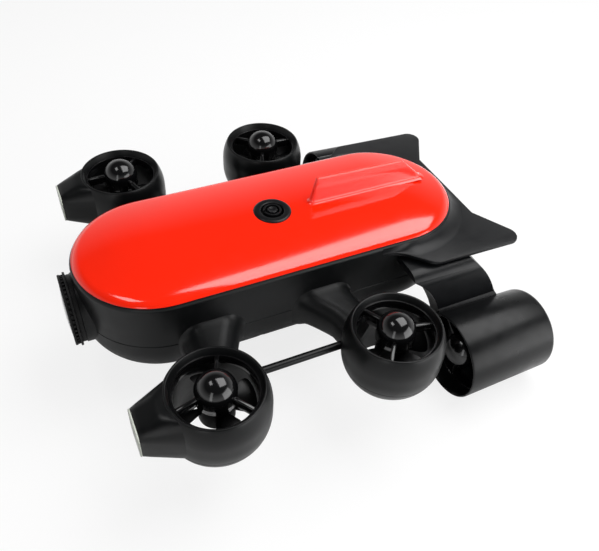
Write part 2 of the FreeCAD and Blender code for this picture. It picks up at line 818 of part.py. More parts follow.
def port_flange():
    body = new_body("port_flange")
    section = outline(new_sketch(body, "XZ_Plane"), [
        ("port_well_radius", "0"),
        ("port_flange_radius", "0"),
        ("port_flange_radius", "port_flange_thickness * 0.4"),
        ("port_flange_radius - port_flange_thickness", "port_flange_thickness"),
        ("port_well_radius + port_flange_thickness / 2", "port_flange_thickness"),
        ("port_well_radius", "port_flange_thickness / 2"),
    ])
    turn(body, section)
    place(body, along="nose_y + port_back", up=PORT_TOP)
    return keep(body, "port_flange")


def tether_socket():
    """Cup under the flange with the keyed collar that the tether's plug slides over."""
    body = new_body("tether_socket")
    section = outline(new_sketch(body, "XZ_Plane"), [
        ("button_stem_radius + shaft_clearance", "-socket_floor"),
        (SOCKET_RADIUS, "-socket_floor"),
        (SOCKET_RADIUS, "port_well_depth"),
        ("port_well_radius", "port_well_depth"),
        ("port_well_radius", "0"),
        ("collar_radius", "0"),
        ("collar_radius", "collar_rise"),
        ("collar_radius - collar_wall", "collar_rise"),
        ("collar_radius - collar_wall", "0"),
        ("button_stem_radius + shaft_clearance", "0"),
    ])
    turn(body, section)
    key = outline(new_sketch(body, "XY_Plane", "collar_rise"), [
        ("-collar_key_width / 2", "-collar_radius - 0.5"),
        ("collar_key_width / 2", "-collar_radius - 0.5"),
        ("collar_key_width / 2", "0.5 - collar_radius"),
        ("-collar_key_width / 2", "0.5 - collar_radius"),
    ])
    pocket(body, key, "collar_rise")
    place(body, along="nose_y + port_back", up=PORT_FLOOR)
    return keep(body, "tether_socket")


def power_button():
    body = new_body("power_button")
    foot = "button_travel + 0.3"
    section = outline(new_sketch(body, "XZ_Plane"), [
        ("0", "-button_stem_length"),
        ("button_stem_radius", "-button_stem_length"),
        ("button_stem_radius", foot),
        ("button_radius", foot),
        ("button_radius", foot + " + button_height - 0.5"),
        ("button_radius - 0.5", foot + " + button_height"),
        ("button_dish_radius", foot + " + button_height"),
        ("button_dish_radius", foot + " + button_height - button_dish_depth"),
        ("0", foot + " + button_height - button_dish_depth"),
    ])
    turn(body, section)
    place(body, along="nose_y + port_back", up=PORT_FLOOR)
    return keep(body, "power_button")


def pod_outer():
    """The outside of a pod from its lip to its outlet: a sphere parted at a short waist."""
    return [
        (POD_LIP, "0"),
        (POD_RADIUS, "-" + POD_EQUATOR, "-" + POD_RADIUS),
        (POD_RADIUS, "-" + POD_WAIST),
        (POD_END_RADIUS, "-" + POD_HEIGHT, "-" + POD_RADIUS),
    ]


def pod_room(back):
    """A filled pod, used only to cut what is fixed to the pod's outside."""
    body = new_body("pod_room")
    turn(body, outline(new_sketch(body, "XZ_Plane"), [("0", "0")] + pod_outer() + [("0", "-" + POD_HEIGHT)]))
    return place(body, "pod_x", "nose_y + " + back, POD_UP)


def pod_upper(label, back):
    """Upper pod moulding: flared lip, seat of the stator ring and the duct wall."""
    body = new_body(label)
    duct = "lift_blade_radius + lift_blade_gap"
    ring = duct + " + lift_ring_wall"
    section = outline(new_sketch(body, "XZ_Plane"), [
        (duct, "-" + POD_PARTING),
        (duct, "-lift_ring_sink - lift_ring_height"),
        (ring, "-lift_ring_sink - lift_ring_height"),
        (ring, "-lift_throat"),
        (POD_LIP + " - pod_lip_width", "0"),
    ] + pod_outer()[:3] + [
        (POD_PARTING_RADIUS, "-" + POD_PARTING, "-" + POD_RADIUS),
    ])
    turn(body, section)
    place(body, "pod_x", "nose_y + " + back, POD_UP)
    both_sides(body, label)


def pod_lower(label, back):
    """Lower pod moulding, drawn in to the outlet."""
    body = new_body(label)
    duct = "lift_blade_radius + lift_blade_gap"
    section = outline(new_sketch(body, "XZ_Plane"), [
        (duct, "-" + POD_PARTING),
        (POD_PARTING_RADIUS, "-" + POD_PARTING),
        (POD_END_RADIUS, "-" + POD_HEIGHT, "-" + POD_RADIUS),
        (POD_OUTLET, "-" + POD_HEIGHT),
        (duct, "-" + POD_HEIGHT + " + pod_outlet_length"),
    ])
    turn(body, section)
    place(body, "pod_x", "nose_y + " + back, POD_UP)
    both_sides(body, label)


def stator(label, kind, angle, pose):
    """Hub with its dome, thin deep spokes and the ring that seats in the duct."""
    body = new_body(label)
    size = lambda text: text.replace("kind_", kind + "_")
    duct = size("kind_blade_radius + kind_blade_gap")
    hub_low = size("-kind_hub_drop - kind_hub_height")
    bore = "shaft_radius + shaft_clearance"
    hub = outline(new_sketch(body, "XZ_Plane"), [
        ("0", size("kind_dome_rise - kind_hub_drop")),
        ("0", hub_low + " + bearing_depth"),
        (bore, hub_low + " + bearing_depth"),
        (bore, hub_low),
        (size("kind_hub_radius"), hub_low),
        (size("kind_hub_radius"), size("-kind_hub_drop")),
        ("0", size("kind_dome_rise - kind_hub_drop"), cap_radius(size("kind_hub_radius"), size("kind_dome_rise"))),
    ][1:])
    turn(body, hub)
    blade = new_sketch(body, "XZ_Plane")
    blade.AttachmentOffset = FreeCAD.Placement(FreeCAD.Vector(), FreeCAD.Rotation(FreeCAD.Vector(0, 1, 0), 1))
    bind(blade, "AttachmentOffset.Rotation.Angle", angle)
    outline(blade, [
        (size("kind_hub_radius - 1"), size("-kind_hub_drop - 2 - kind_spoke_height")),
        (duct + size(" + kind_ring_wall / 2"), size("-kind_ring_sink - 0.5 - kind_spoke_height")),
        (duct + size(" + kind_ring_wall / 2"), size("-kind_ring_sink - 0.5")),
        (size("kind_hub_radius - 1"), size("-kind_hub_drop - 2")),
    ])
    spoke = pad(body, blade, size("kind_spoke_thickness"), both_ways=True)
    round_pattern(body, spoke, (hub, ["V_Axis"]), "spoke_count")
    rim = outline(new_sketch(body, "XZ_Plane"), [
        (duct, size("-kind_ring_sink - kind_ring_height")),
        (duct + size(" + kind_ring_wall"), size("-kind_ring_sink - kind_ring_height")),
        (duct + size(" + kind_ring_wall"), size("-kind_ring_sink")),
        (duct, size("-kind_ring_sink")),
    ])
    turn(body, rim)
    pose(body)
    both_sides(body, label)


def motor(label, kind, pose):
    """Wound motor core on its flange under the hub, with slots between the teeth."""
    body = new_body(label)
    size = lambda text: text.replace("kind_", kind + "_")
    top = size("-kind_hub_drop - kind_hub_height")
    low = top + size(" - kind_motor_length")
    bore = "shaft_radius + shaft_clearance"
    section = outline(new_sketch(body, "XZ_Plane"), [
        (bore, low),
        (size("kind_motor_radius"), low),
        (size("kind_motor_radius"), top + " - motor_flange"),
        (size("kind_motor_radius + 2"), top + " - motor_flange"),
        (size("kind_motor_radius + 2"), top),
        (bore, top),
    ])
    turn(body, section)
    slot = outline(new_sketch(body, "XY_Plane", low), [
        (size("kind_motor_radius - motor_slot_depth"), "-motor_slot_width / 2"),
        (size("kind_motor_radius + 1"), "-motor_slot_width / 2"),
        (size("kind_motor_radius + 1"), "motor_slot_width / 2"),
        (size("kind_motor_radius - motor_slot_depth"), "motor_slot_width / 2"),
    ])
    cut = pocket(body, slot, size("kind_motor_length - motor_flange"), reverse=True)
    round_pattern(body, cut, (slot, ["N_Axis"]), "motor_slots")
    pose(body)
    both_sides(body, label)


def blade_section(body, reach, chord, pitch, height):
    """Thin cambered blade section, square to a radius and turned to its pitch."""
    sketch = new_sketch(body, "YZ_Plane", reach)
    run = "(%s) / 2 * cos(%s)" % (chord, pitch)
    rise = "(%s) / 2 * sin(%s)" % (chord, pitch)
    edge_run = "blade_edge / 2 * sin(%s)" % pitch
    edge_rise = "blade_edge / 2 * cos(%s)" % pitch
    face = cap_radius("(%s) / 2" % chord, "blade_camber")
    back = cap_radius("(%s) / 2" % chord, "blade_camber + blade_thickness - blade_edge")
    return outline(sketch, [
        ("-(%s) + %s" % (run, edge_run), "%s - (%s) - %s" % (height, rise, edge_rise)),
        ("%s + %s" % (run, edge_run), "%s + %s - %s" % (height, rise, edge_rise), "-(" + face + ")"),
        ("%s - %s" % (run, edge_run), "%s + %s + %s" % (height, rise, edge_rise)),
        ("-(%s) - %s" % (run, edge_run), "%s - (%s) + %s" % (height, rise, edge_rise), back),
    ])


def propeller(label, kind, pose):
    """Magnet bell with its shaft, tail cone and broad twisted blades."""
    body = new_body(label)
    size = lambda text: text.replace("kind_", kind + "_")
    hub_low = size("-kind_hub_drop - kind_hub_height")
    bell_top = hub_low + " - motor_flange - rotor_gap"
    inner_floor = hub_low + size(" - kind_motor_length - rotor_gap")
    low = inner_floor + " - bell_floor"
    inner = size("kind_motor_radius + bell_air_gap")
    outer = size("kind_motor_radius + bell_air_gap + kind_bell_wall")
    section = outline(new_sketch(body, "XZ_Plane"), [
        ("0", hub_low + " + bearing_depth - rotor_gap"),
        ("0", low + " - tail_cone_rise"),
        (outer, low, cap_radius(outer, "tail_cone_rise")),
        (outer, bell_top),
        (inner, bell_top),
        (inner, inner_floor),
        ("shaft_radius", inner_floor),
        ("shaft_radius", hub_low + " + bearing_depth - rotor_gap"),
    ])
    turn(body, section)
    middle = "(" + bell_top + " + " + low + ") / 2"
    root = outer + size(" - kind_bell_wall / 2")
    tip = size("kind_blade_radius + 1")
    halfway = "(" + root + " + " + tip + ") / 2"
    root_section = blade_section(body, root, size("kind_root_chord"), "blade_root_pitch", middle)
    mid_section = blade_section(body, halfway, size("(kind_root_chord + 2 * kind_tip_chord) / 3"),
                                "(blade_root_pitch + 2 * blade_tip_pitch) / 3", middle)
    tip_section = blade_section(body, tip, size("kind_tip_chord"), "blade_tip_pitch", middle)
    loft = body.newObject("PartDesign::AdditiveLoft", "AdditiveLoft")
    loft.Profile = root_section
    loft.Sections = [mid_section, tip_section]
    round_pattern(body, loft, (section, ["V_Axis"]), "blade_count")
    trim = outline(new_sketch(body, "XZ_Plane"), [
        (size("kind_blade_radius"), low + size(" - kind_tip_chord")),
        (size("kind_blade_radius + 8"), low + size(" - kind_tip_chord")),
        (size("kind_blade_radius + 8"), bell_top + size(" + kind_tip_chord")),
        (size("kind_blade_radius"), bell_top + size(" + kind_tip_chord")),
    ])
    turn(body, trim, kind="Groove")
    pose(body)
    both_sides(body, label)


def arm(label, back, sweep, rooms):
    """Swept tapering arm, flared where it meets the hull's side and cut to the pod's ball."""
    body = new_body(label)
    centre = "nose_y + " + back
    lean = {"front_arm_sweep": " + ", "rear_arm_sweep": " - "}[sweep]
    up = "seam_height - arm_drop"
    stations = [
        (HULL_HALF, "arm_root_width + 2 * arm_flare", "arm_root_height + arm_flare"),
        (HULL_HALF + " + arm_flare_length", "arm_root_width", "arm_root_height"),
        ("pod_x - " + POD_RADIUS + " / 2", "arm_tip_width", "arm_tip_height"),
    ]
    sketches = []
    for across, width, height in stations:
        sketch = new_sketch(body, "YZ_Plane", across)
        along = "%s%s(pod_x - (%s)) * tan(%s)" % (centre, lean, across, sweep)
        sketches.append(rounded_box(sketch, "(" + along + ")", up, width, height, "arm_round"))
    loft = body.newObject("PartDesign::AdditiveLoft", "AdditiveLoft")
    loft.Profile = sketches[0]
    loft.Sections = sketches[1:]
    both_sides(trimmed(body, rooms, label), label)


def tie_rod(rooms):
    rod = doc.addObject("Part::Cylinder", "TieRod")
    bind(rod, "Radius", "rod_radius")
    bind(rod, "Height", "rear_pod_back - front_pod_back")
    rod.Placement = FreeCAD.Placement(FreeCAD.Vector(), FreeCAD.Rotation(FreeCAD.Vector(-1, 0, 0), 90))
    place(rod, "rod_x", "nose_y + front_pod_back", "seam_height - rod_drop")
    both_sides(trimmed(rod, rooms, "tie_rod"), "tie_rod")


def lamp_housing(room):
    """Snout that grows from a rounded square face into the pod's ball, with a cup for the lamp."""
    body = new_body("lamp_housing")
    face = rounded_box(new_sketch(body, "XZ_Plane"), "0", "0", "lamp_face", "lamp_face", "lamp_face_round")
    root = rounded_box(new_sketch(body, "XZ_Plane", "-lamp_root_reach"), "0", "0", "lamp_root", "lamp_root",
                       "lamp_root_round")
    loft = body.newObject("PartDesign::AdditiveLoft", "AdditiveLoft")
    loft.Profile = face
    loft.Sections = [root]
    loft.Ruled = True
    cup = rounded_box(new_sketch(body, "XZ_Plane"), "0", "0", "lamp_face - 2 * lamp_wall",
                      "lamp_face - 2 * lamp_wall", "lamp_face_round - lamp_wall")
    pocket(body, cup, "lamp_cup")
    place(body, "pod_x", "nose_y + lamp_back", "seam_height - lamp_drop")
    both_sides(trimmed(body, [room], "lamp_housing"), "lamp_housing")


def lamp_lens():
    body = new_body("lamp_lens")
    face = rounded_box(new_sketch(body, "XZ_Plane"), "0", "0", "lamp_face - 2 * lamp_wall",
                       "lamp_face - 2 * lamp_wall", "lamp_face_round - lamp_wall")
    pad(body, face, "lamp_lens_thickness", reverse=True)
    place(body, "pod_x", "nose_y + lamp_back", "seam_height - lamp_drop")
    both_sides(body, "lamp_lens")


def lamp_board():
    """Board at the bottom of the lamp's cup with four light-emitting domes."""
    body = new_body("lamp_board")
    board = rounded_box(new_sketch(body, "XZ_Plane", "-lamp_cup"), "0", "0", "lamp_face - 2 * lamp_wall",
                        "lamp_face - 2 * lamp_wall", "lamp_face_round - lamp_wall")
    pad(body, board, "lamp_board_thickness")
    chips = new_sketch(body, "XZ_Plane", "lamp_board_thickness - lamp_cup")
    for across in ("-lamp_chip_pitch / 2", "lamp_chip_pitch / 2"):
        for up in ("-lamp_chip_pitch / 2", "lamp_chip_pitch / 2"):
            disc(chips, across, up, "lamp_chip_radius")
    pad(body, chips, "lamp_board_thickness")
    place(body, "pod_x", "nose_y + lamp_back", "seam_height - lamp_drop")
    both_sides(body, "lamp_board")


def on_front_pod(item):
    place(item, "pod_x", "nose_y + front_pod_back", POD_UP)


def on_rear_pod(item):
    place(item, "pod_x", "nose_y + rear_pod_back", POD_UP)


def on_drive(item):
    """Lays a thruster's axis along the vehicle with its intake to the front."""
    item.Placement = FreeCAD.Placement(FreeCAD.Vector(), FreeCAD.Rotation(FreeCAD.Vector(1, 0, 0), 90))
    place(item, "drive_x", "nose_y + drive_back", DRIVE_UP)


def drive_outer():
    """The outside of a rear duct: a slight taper that is drawn in at the outlet."""
    end_radius = DRIVE_DUCT + " - drive_outlet_taper + drive_outlet_lip"
    return [
        (DRIVE_FRONT + " - drive_lip_width / 2", "0"),
        (DRIVE_FRONT, "-drive_lip_width"),
        (DRIVE_REAR, "drive_end_length - drive_length"),
        (end_radius, "-drive_length", "-2 * drive_end_length"),
    ]


def drive_room():
    """A filled rear duct, used only to cut the pylon's foot."""
    body = new_body("drive_room")
    turn(body, outline(new_sketch(body, "XZ_Plane"), [("0", "0")] + drive_outer() + [("0", "-drive_length")]))
    on_drive(body)
    return body


def drive_duct():
    body = new_body("drive_duct")
    ring = DRIVE_DUCT + " + drive_ring_wall"
    outlet = DRIVE_DUCT + " - drive_outlet_taper"
    section = outline(new_sketch(body, "XZ_Plane"), [
        (outlet, "-drive_length"),
        (DRIVE_DUCT, "2 * drive_end_length - drive_length"),
        (DRIVE_DUCT, "-drive_ring_sink - drive_ring_height"),
        (ring, "-drive_ring_sink - drive_ring_height"),
        (ring, "-drive_throat"),
        (DRIVE_FRONT + " - drive_lip_width", "0"),
    ] + drive_outer())
    turn(body, section)
    on_drive(body)
    both_sides(body, "drive_duct")


def hull_room():
    """The filled hull, used only to cut the pylon's root."""
    body = new_body("hull_room")
    boat(body, [
        ("0", FLOOR),
        (HULL_HALF + " - hull_bottom_round", FLOOR),
        (HULL_HALF, ROUND_START, "hull_bottom_round"),
        (HULL_HALF, "seam_height - rim_round"),
        ("0", "seam_height - rim_round"),
    ])
    return body


def pylon(rooms):
    """Curved bracket from the stern out over the rear duct, cut to the hull and the duct."""
    body = new_body("pylon")
    top = "seam_height - pylon_top_drop"
    foot = DRIVE_UP + " + " + DRIVE_DUCT
    section = outline(new_sketch(body, "XZ_Plane", "-nose_y - pylon_front_back"), [
        ("cover_half_width / 2", "seam_height - pylon_root_drop"),
        ("cover_half_width", "seam_height - pylon_root_drop"),
        ("drive_x - " + DRIVE_DUCT, DRIVE_UP, "pylon_arch_round"),
        ("drive_x", DRIVE_UP),
        ("pylon_foot_x", foot + " - drive_wall"),
        ("pylon_shoulder_x + pylon_shoulder_round", top + " - pylon_shoulder_round"),
        ("pylon_shoulder_x", top, "pylon_shoulder_round"),
        ("cover_half_width / 2", top),
    ])
    pad(body, section, "drive_back + drive_length - pylon_front_back", reverse=True)
    front_y = "nose_y + pylon_front_back"
    rear_y = "nose_y + pylon_rear_back"
    foot_drop = "seam_height - drive_drop"
    sides = outline(new_sketch(body, "YZ_Plane"), [
        (front_y + " - 5", foot_drop),
        (front_y + " - 5", top + " - 6"),
        (front_y, top + " - 6"),
        (front_y + " + pylon_front_sweep", foot_drop, "-pylon_front_round"),
    ])
    outline(sides, [
        (rear_y, top + " + 5"),
        (rear_y, top),
        (rear_y + " + pylon_rear_sweep", DRIVE_UP + " + 10"),
        ("nose_y + drive_back + drive_length + 5", DRIVE_UP + " + 10"),
        ("nose_y + drive_back + drive_length + 5", top + " + 5"),
    ])
    pocket(body, sides, "4 * drive_x", both_ways=True)
    both_sides(trimmed(body, rooms, "pylon"), "pylon")


def battery_pack():
    body = new_body("battery_pack")
    plan = rounded_box(new_sketch(body, "XY_Plane", FLOOR + " + hull_wall"), "0",
                       "nose_y + battery_back + battery_length / 2", "battery_width", "battery_length",
                       "battery_round")
    pad(body, plan, "battery_height")
    return keep(body, "battery_pack")


def control_board():
    """Board on four standoffs over the battery, with its main chips."""
    body = new_body("control_board")
    centre = "nose_y + battery_back + battery_length / 2"
    seat = FLOOR + " + hull_wall + battery_height"
    board_low = seat + " + standoff_height"
    board = rounded_box(new_sketch(body, "XY_Plane", board_low), "0", centre, "board_width", "board_length",
                        "standoff_radius")
    pad(body, board, "board_thickness")
    feet = new_sketch(body, "XY_Plane", seat)
    for across in ("-(board_width / 2 - 2 * standoff_radius)", "board_width / 2 - 2 * standoff_radius"):
        for step in (" - (board_length / 2 - 2 * standoff_radius)", " + board_length / 2 - 2 * standoff_radius"):
            disc(feet, across, centre + step, "standoff_radius")
    pad(body, feet, "standoff_height")
    chips = new_sketch(body, "XY_Plane", board_low + " + board_thickness")
    for step in ("-", "+"):
        rounded_box(chips, "0", centre + " " + step + " chip_width", "chip_width", "chip_width", "1")
    pad(body, chips, "chip_height")
    return keep(body, "control_board")


def build():
    top_cover()
    cover_seal()
    upper_hull()
    lower_hull()
    hull_screws()
    tail_fin()
    camera_barrel()
    camera_bezel()
    camera_window()
    camera_module()
    port_flange()
    tether_socket()
    power_button()
    front_room = pod_room("front_pod_back")
    rear_room = pod_room("rear_pod_back")
    for end, pose in (("front", on_front_pod), ("rear", on_rear_pod)):
        pod_upper(end + "_pod_shell", end + "_pod_back")
        pod_lower(end + "_pod_outlet", end + "_pod_back")
        stator(end + "_pod_stator", "lift", end + "_spoke_angle", pose)
        motor(end + "_pod_motor", "lift", pose)
        propeller(end + "_pod_propeller", "lift", pose)
    arm("front_arm", "front_pod_back", "front_arm_sweep", [front_room])
    arm("rear_arm", "rear_pod_back", "rear_arm_sweep", [rear_room])
    tie_rod([front_room, rear_room])
    lamp_housing(front_room)
    lamp_lens()
    lamp_board()
    drive_duct()
    stator("drive_stator", "drive", "drive_spoke_angle", on_drive)
    motor("drive_motor", "drive", on_drive)
    propeller("drive_propeller", "drive", on_drive)
    pylon([hull_room(), drive_room()])
    battery_pack()
    control_board()


def check_and_write():
    """Stops on any failed object, then writes one file for each sub-part."""
    doc.recompute()
    for item in doc.Objects:
        if "Invalid" in item.State or "Error" in item.State:
            raise RuntimeError("%s failed: %s" % (item.Label, item.State))
    os.makedirs("parts", exist_ok=True)
    for piece in pieces:
        if piece.Shape.isNull() or not piece.Shape.isValid():
            raise RuntimeError(piece.Label + " has no valid shape")
        piece.Shape.exportStep("parts/" + piece.Label + ".step")


build()
check_and_write()
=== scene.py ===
from math import acos, atan2, cos, hypot, pi, radians, sin, sqrt, tan

import bpy
from mathutils import Matrix, Vector


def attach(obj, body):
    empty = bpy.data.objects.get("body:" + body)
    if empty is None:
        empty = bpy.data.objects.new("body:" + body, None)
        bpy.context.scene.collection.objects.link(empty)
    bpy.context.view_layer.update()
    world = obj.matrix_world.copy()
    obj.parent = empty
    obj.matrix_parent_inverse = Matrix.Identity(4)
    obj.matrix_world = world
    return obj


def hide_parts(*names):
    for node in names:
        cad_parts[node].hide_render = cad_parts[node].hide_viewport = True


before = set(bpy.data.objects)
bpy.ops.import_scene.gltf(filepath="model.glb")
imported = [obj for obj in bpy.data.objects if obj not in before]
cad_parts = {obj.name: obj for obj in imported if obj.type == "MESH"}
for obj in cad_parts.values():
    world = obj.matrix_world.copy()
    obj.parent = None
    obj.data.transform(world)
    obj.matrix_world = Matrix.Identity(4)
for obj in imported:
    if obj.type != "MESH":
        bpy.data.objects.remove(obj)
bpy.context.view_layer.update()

# ---------------------------------------------------------------------------------------------
# The studio. A sweep of white paper under four soft boxes, with the camera above the vehicle's
# left bow. Nothing here belongs to the vehicle.

MM = 0.001


def linear(code):
    """A colour written as sRGB hex, as the linear RGBA that a shader wants."""
    parts = [int(code[i:i + 2], 16) / 255 for i in (1, 3, 5)]
    return [c / 12.92 if c <= 0.04045 else ((c + 0.055) / 1.055) ** 2.4 for c in parts] + [1]


def add_node(tree, kind, values=None, links=None, **settings):
    """One node with its settings, the values of its sockets and what is linked to them."""
    node = tree.nodes.new(kind)
    for name, value in settings.items():
        setattr(node, name, value)
    for name, value in (values or {}).items():
        node.inputs[name].default_value = value
    for name, source in (links or {}).items():
        tree.links.new(source, node.inputs[name])
    return node


def soft_box(name, place, aim, size, watts, along=(0, 1, 0)):
    """A rectangular studio light, aimed at a point, its second side along a direction."""
    lamp = bpy.data.lights.new(name, "AREA")
    lamp.shape = "RECTANGLE"
    lamp.size, lamp.size_y = size
    lamp.energy = watts
    holder = bpy.data.objects.new(name, lamp)
    bpy.context.scene.collection.objects.link(holder)
    back = (Vector(place) - Vector(aim)).normalized()
    across = Vector(along).cross(back).normalized()
    facing = Matrix((across, back.cross(across), back)).transposed()
    holder.matrix_world = Matrix.Translation(place) @ facing.to_4x4()


# The camera's place in metres, and the directions of its right, its top and its back.
CAMERA_PLACE = (0.3852, -0.1876, 0.4722)
CAMERA_RIGHT = Vector((0.4187, 0.9066, 0.0539))
CAMERA_UP = Vector((-0.6525, 0.2590, 0.7122))
CAMERA_BACK = Vector((0.6316, -0.3334, 0.6999))
camera_lens = bpy.data.cameras.new("studio_camera")
camera_lens.lens = 39.07
camera_lens.sensor_width = 36
camera_lens.clip_start = 0.01
camera = bpy.data.objects.new("studio_camera", camera_lens)
bpy.context.scene.collection.objects.link(camera)
camera_facing = Matrix((CAMERA_RIGHT, CAMERA_UP, CAMERA_BACK)).transposed()
camera.matrix_world = Matrix.Translation(CAMERA_PLACE) @ camera_facing.to_4x4()
bpy.context.scene.camera = camera
bpy.context.scene.view_settings.view_transform = "Standard"

# The air is white to the eye and through clear parts. Glossy parts mirror the white sweep low
# down, and the dim ceiling between the boxes higher up. On the vehicle it is an even, low fill.
FILL_LEVEL = 0.34
CEILING_LEVEL = 0.06
SWEEP_TOP = 0.10
CEILING_START = 0.62
world = bpy.data.worlds.new("studio_air")
bpy.context.scene.world = world
world.use_nodes = True
world.node_tree.nodes.clear()
rays = add_node(world.node_tree, "ShaderNodeLightPath")
seen = add_node(world.node_tree, "ShaderNodeMath", {},
                {0: rays.outputs["Is Camera Ray"], 1: rays.outputs["Is Transmission Ray"]},
                operation="MAXIMUM")
air_place = add_node(world.node_tree, "ShaderNodeTexCoord")
air_height = add_node(world.node_tree, "ShaderNodeSeparateXYZ", {},
                      {0: air_place.outputs["Generated"]})
sweep = add_node(world.node_tree, "ShaderNodeMapRange",
                 {"From Min": SWEEP_TOP, "From Max": CEILING_START, "To Min": 1.0,
                  "To Max": CEILING_LEVEL}, {"Value": air_height.outputs["Z"]})
fill = add_node(world.node_tree, "ShaderNodeMapRange", {"To Min": FILL_LEVEL},
                {"Value": rays.outputs["Is Glossy Ray"], "To Max": sweep.outputs[0]})
level = add_node(world.node_tree, "ShaderNodeMath", {}, {0: seen.outputs[0], 1: fill.outputs[0]},
                 operation="MAXIMUM")
air = add_node(world.node_tree, "ShaderNodeBackground", {"Color": (1, 1, 1, 1)},
               {"Strength": level.outputs[0]})
add_node(world.node_tree, "ShaderNodeOutputWorld", {}, {"Surface": air.outputs[0]})

# The paper is white to the eye, in mirrors and through clear parts. It throws little light back
# up at the vehicle, and it keeps the vehicle's shadow.
PAPER_SIZE = 30
PAPER_DROP = 0.0005
PAPER_GLOW = 0.80
bpy.ops.object.select_all(action="DESELECT")
bpy.ops.mesh.primitive_plane_add(size=PAPER_SIZE, location=(0, 0, -PAPER_DROP))
floor = bpy.context.object
floor.name = "studio_floor"
paper = bpy.data.materials.new("white_backdrop_paper")
paper.use_nodes = True
paper.node_tree.nodes.clear()
paper_rays = add_node(paper.node_tree, "ShaderNodeLightPath")
paper_mirrored = add_node(paper.node_tree, "ShaderNodeMath", {},
                          {0: paper_rays.outputs["Is Glossy Ray"],
                           1: paper_rays.outputs["Is Transmission Ray"]}, operation="MAXIMUM")
paper_shown = add_node(paper.node_tree, "ShaderNodeMath", {},
                       {0: paper_rays.outputs["Is Camera Ray"], 1: paper_mirrored.outputs[0]},
                       operation="MAXIMUM")
paper_tone = add_node(paper.node_tree, "ShaderNodeMix",
                      {6: linear("#6A6A6A"), 7: linear("#F6F6F6")},
                      {"Factor": paper_shown.outputs[0]}, data_type="RGBA")
flat = add_node(paper.node_tree, "ShaderNodeBsdfDiffuse", {}, {"Color": paper_tone.outputs[2]})
lift = add_node(paper.node_tree, "ShaderNodeEmission", {"Color": (1, 1, 1, 1), "Strength": 1.0})
paper_seen = add_node(paper.node_tree, "ShaderNodeMath", {1: PAPER_GLOW},
                      {0: paper_rays.outputs["Is Camera Ray"]}, operation="MULTIPLY")
paper_mix = add_node(paper.node_tree, "ShaderNodeMixShader", {},
                     {0: paper_seen.outputs[0], 1: flat.outputs[0], 2: lift.outputs[0]})
add_node(paper.node_tree, "ShaderNodeOutputMaterial", {}, {"Surface": paper_mix.outputs[0]})
floor.data.materials.append(paper)

# The overhead box draws the long highlight on the cover, and the bow box the short one.
soft_box("overhead_box", (0.054, 0.65, 1.15), (0.054, 0.65, 0.1), (0.95, 1.06), 15,
         along=(-0.16, 0.987, 0))
soft_box("bow_box", (-0.12, -0.47, 1.15), (-0.12, -0.47, 0.1), (0.42, 0.26), 1.6)
soft_box("right_box", (1.00, 0.70, 0.32), (0.13, -0.05, 0.1), (1.0, 0.9), 9, along=(0, 0, 1))
soft_box("bow_strip", (0.95, -0.85, 0.55), (0, -0.05, 0.1), (0.25, 0.9), 1.5, along=(0, 0, 1))

# ---------------------------------------------------------------------------------------------
# The hull: a boat-shaped pan and its upper moulding, both moulded ABS with a fine spark-eroded
# grain. They part below the arms, and a round neck at the bow takes the camera tube.

SEAM = 121.4
NOSE = -178.8
COVER_LENGTH = 330.0
COVER_HALF = 63.8
RIM = 1.6
HULL_HALF = COVER_HALF + RIM
BOW_CENTRE = NOSE + COVER_HALF
STERN_CENTRE = NOSE + COVER_LENGTH - COVER_HALF
PARTING = SEAM - 41.5
BILGE_ROUND = 36.0
BELLY = SEAM - 85.0
BILGE = BELLY + BILGE_ROUND
HULL_WALL = 3.0


def arc(centre, radius, start, end, steps):
    """Points of an arc in a section, from one angle to another in degrees."""
    angles = [radians(start + (end - start) * i / steps) for i in range(steps + 1)]
    return [(centre[0] + radius * cos(a), centre[1] + radius * sin(a)) for a in angles]


def edge_between(start, end, radius, steps):
    """Points of a bulging arc between two points of a section, bulging to the right of travel."""
    ax, ay = start
    bx, by = end
    length = hypot(bx - ax, by - ay)
    depth = sqrt(max(radius * radius - length * length / 4, 0)) * (1 if radius > 0 else -1)
    cx = (ax + bx) / 2 - (by - ay) / length * depth
    cy = (ay + by) / 2 + (bx - ax) / length * depth
    first = atan2(ay - cy, ax - cx)
    sweep = (atan2(by - cy, bx - cx) - first + pi) % (2 * pi) - pi
    return [(cx + abs(radius) * cos(first + sweep * i / steps),
             cy + abs(radius) * sin(first + sweep * i / steps)) for i in range(steps + 1)]


def start_chain(name, points):
    """A chain of edges, drawn by extruding one vertex from point to point. Leaves edit mode on."""
    bpy.ops.object.select_all(action="DESELECT")
    bpy.ops.mesh.primitive_plane_add(size=0.001)
    piece = bpy.context.object
    piece.name = name
    bpy.ops.object.mode_set(mode="EDIT")
    bpy.ops.mesh.select_mode(type="VERT")
    bpy.ops.mesh.select_all(action="SELECT")
    bpy.ops.mesh.merge(type="CENTER")
    bpy.ops.transform.translate(value=Vector(points[0]) * MM)
    for here, there in zip(points, points[1:]):
        step = (Vector(there) - Vector(here)) * MM
        bpy.ops.mesh.extrude_region_move(TRANSFORM_OT_translate={"value": step})
    return piece


def close_mesh(piece, gap=0.004):
    """Merges what meets, turns the faces outwards and leaves edit mode."""
    bpy.ops.mesh.select_all(action="SELECT")
    bpy.ops.mesh.remove_doubles(threshold=gap * MM)
    bpy.ops.mesh.normals_make_consistent(inside=False)
    bpy.ops.object.mode_set(mode="OBJECT")
    return piece


def pick(piece):
    """Selects one piece alone and makes it the active one."""
    bpy.ops.object.select_all(action="DESELECT")
    piece.select_set(True)
    bpy.context.view_layer.objects.active = piece


def smooth(piece, angle=35):
    """Shades a piece smooth, with its edges sharp past an angle in degrees."""
    pick(piece)
    bpy.ops.object.shade_smooth_by_angle(angle=radians(angle))
    return piece


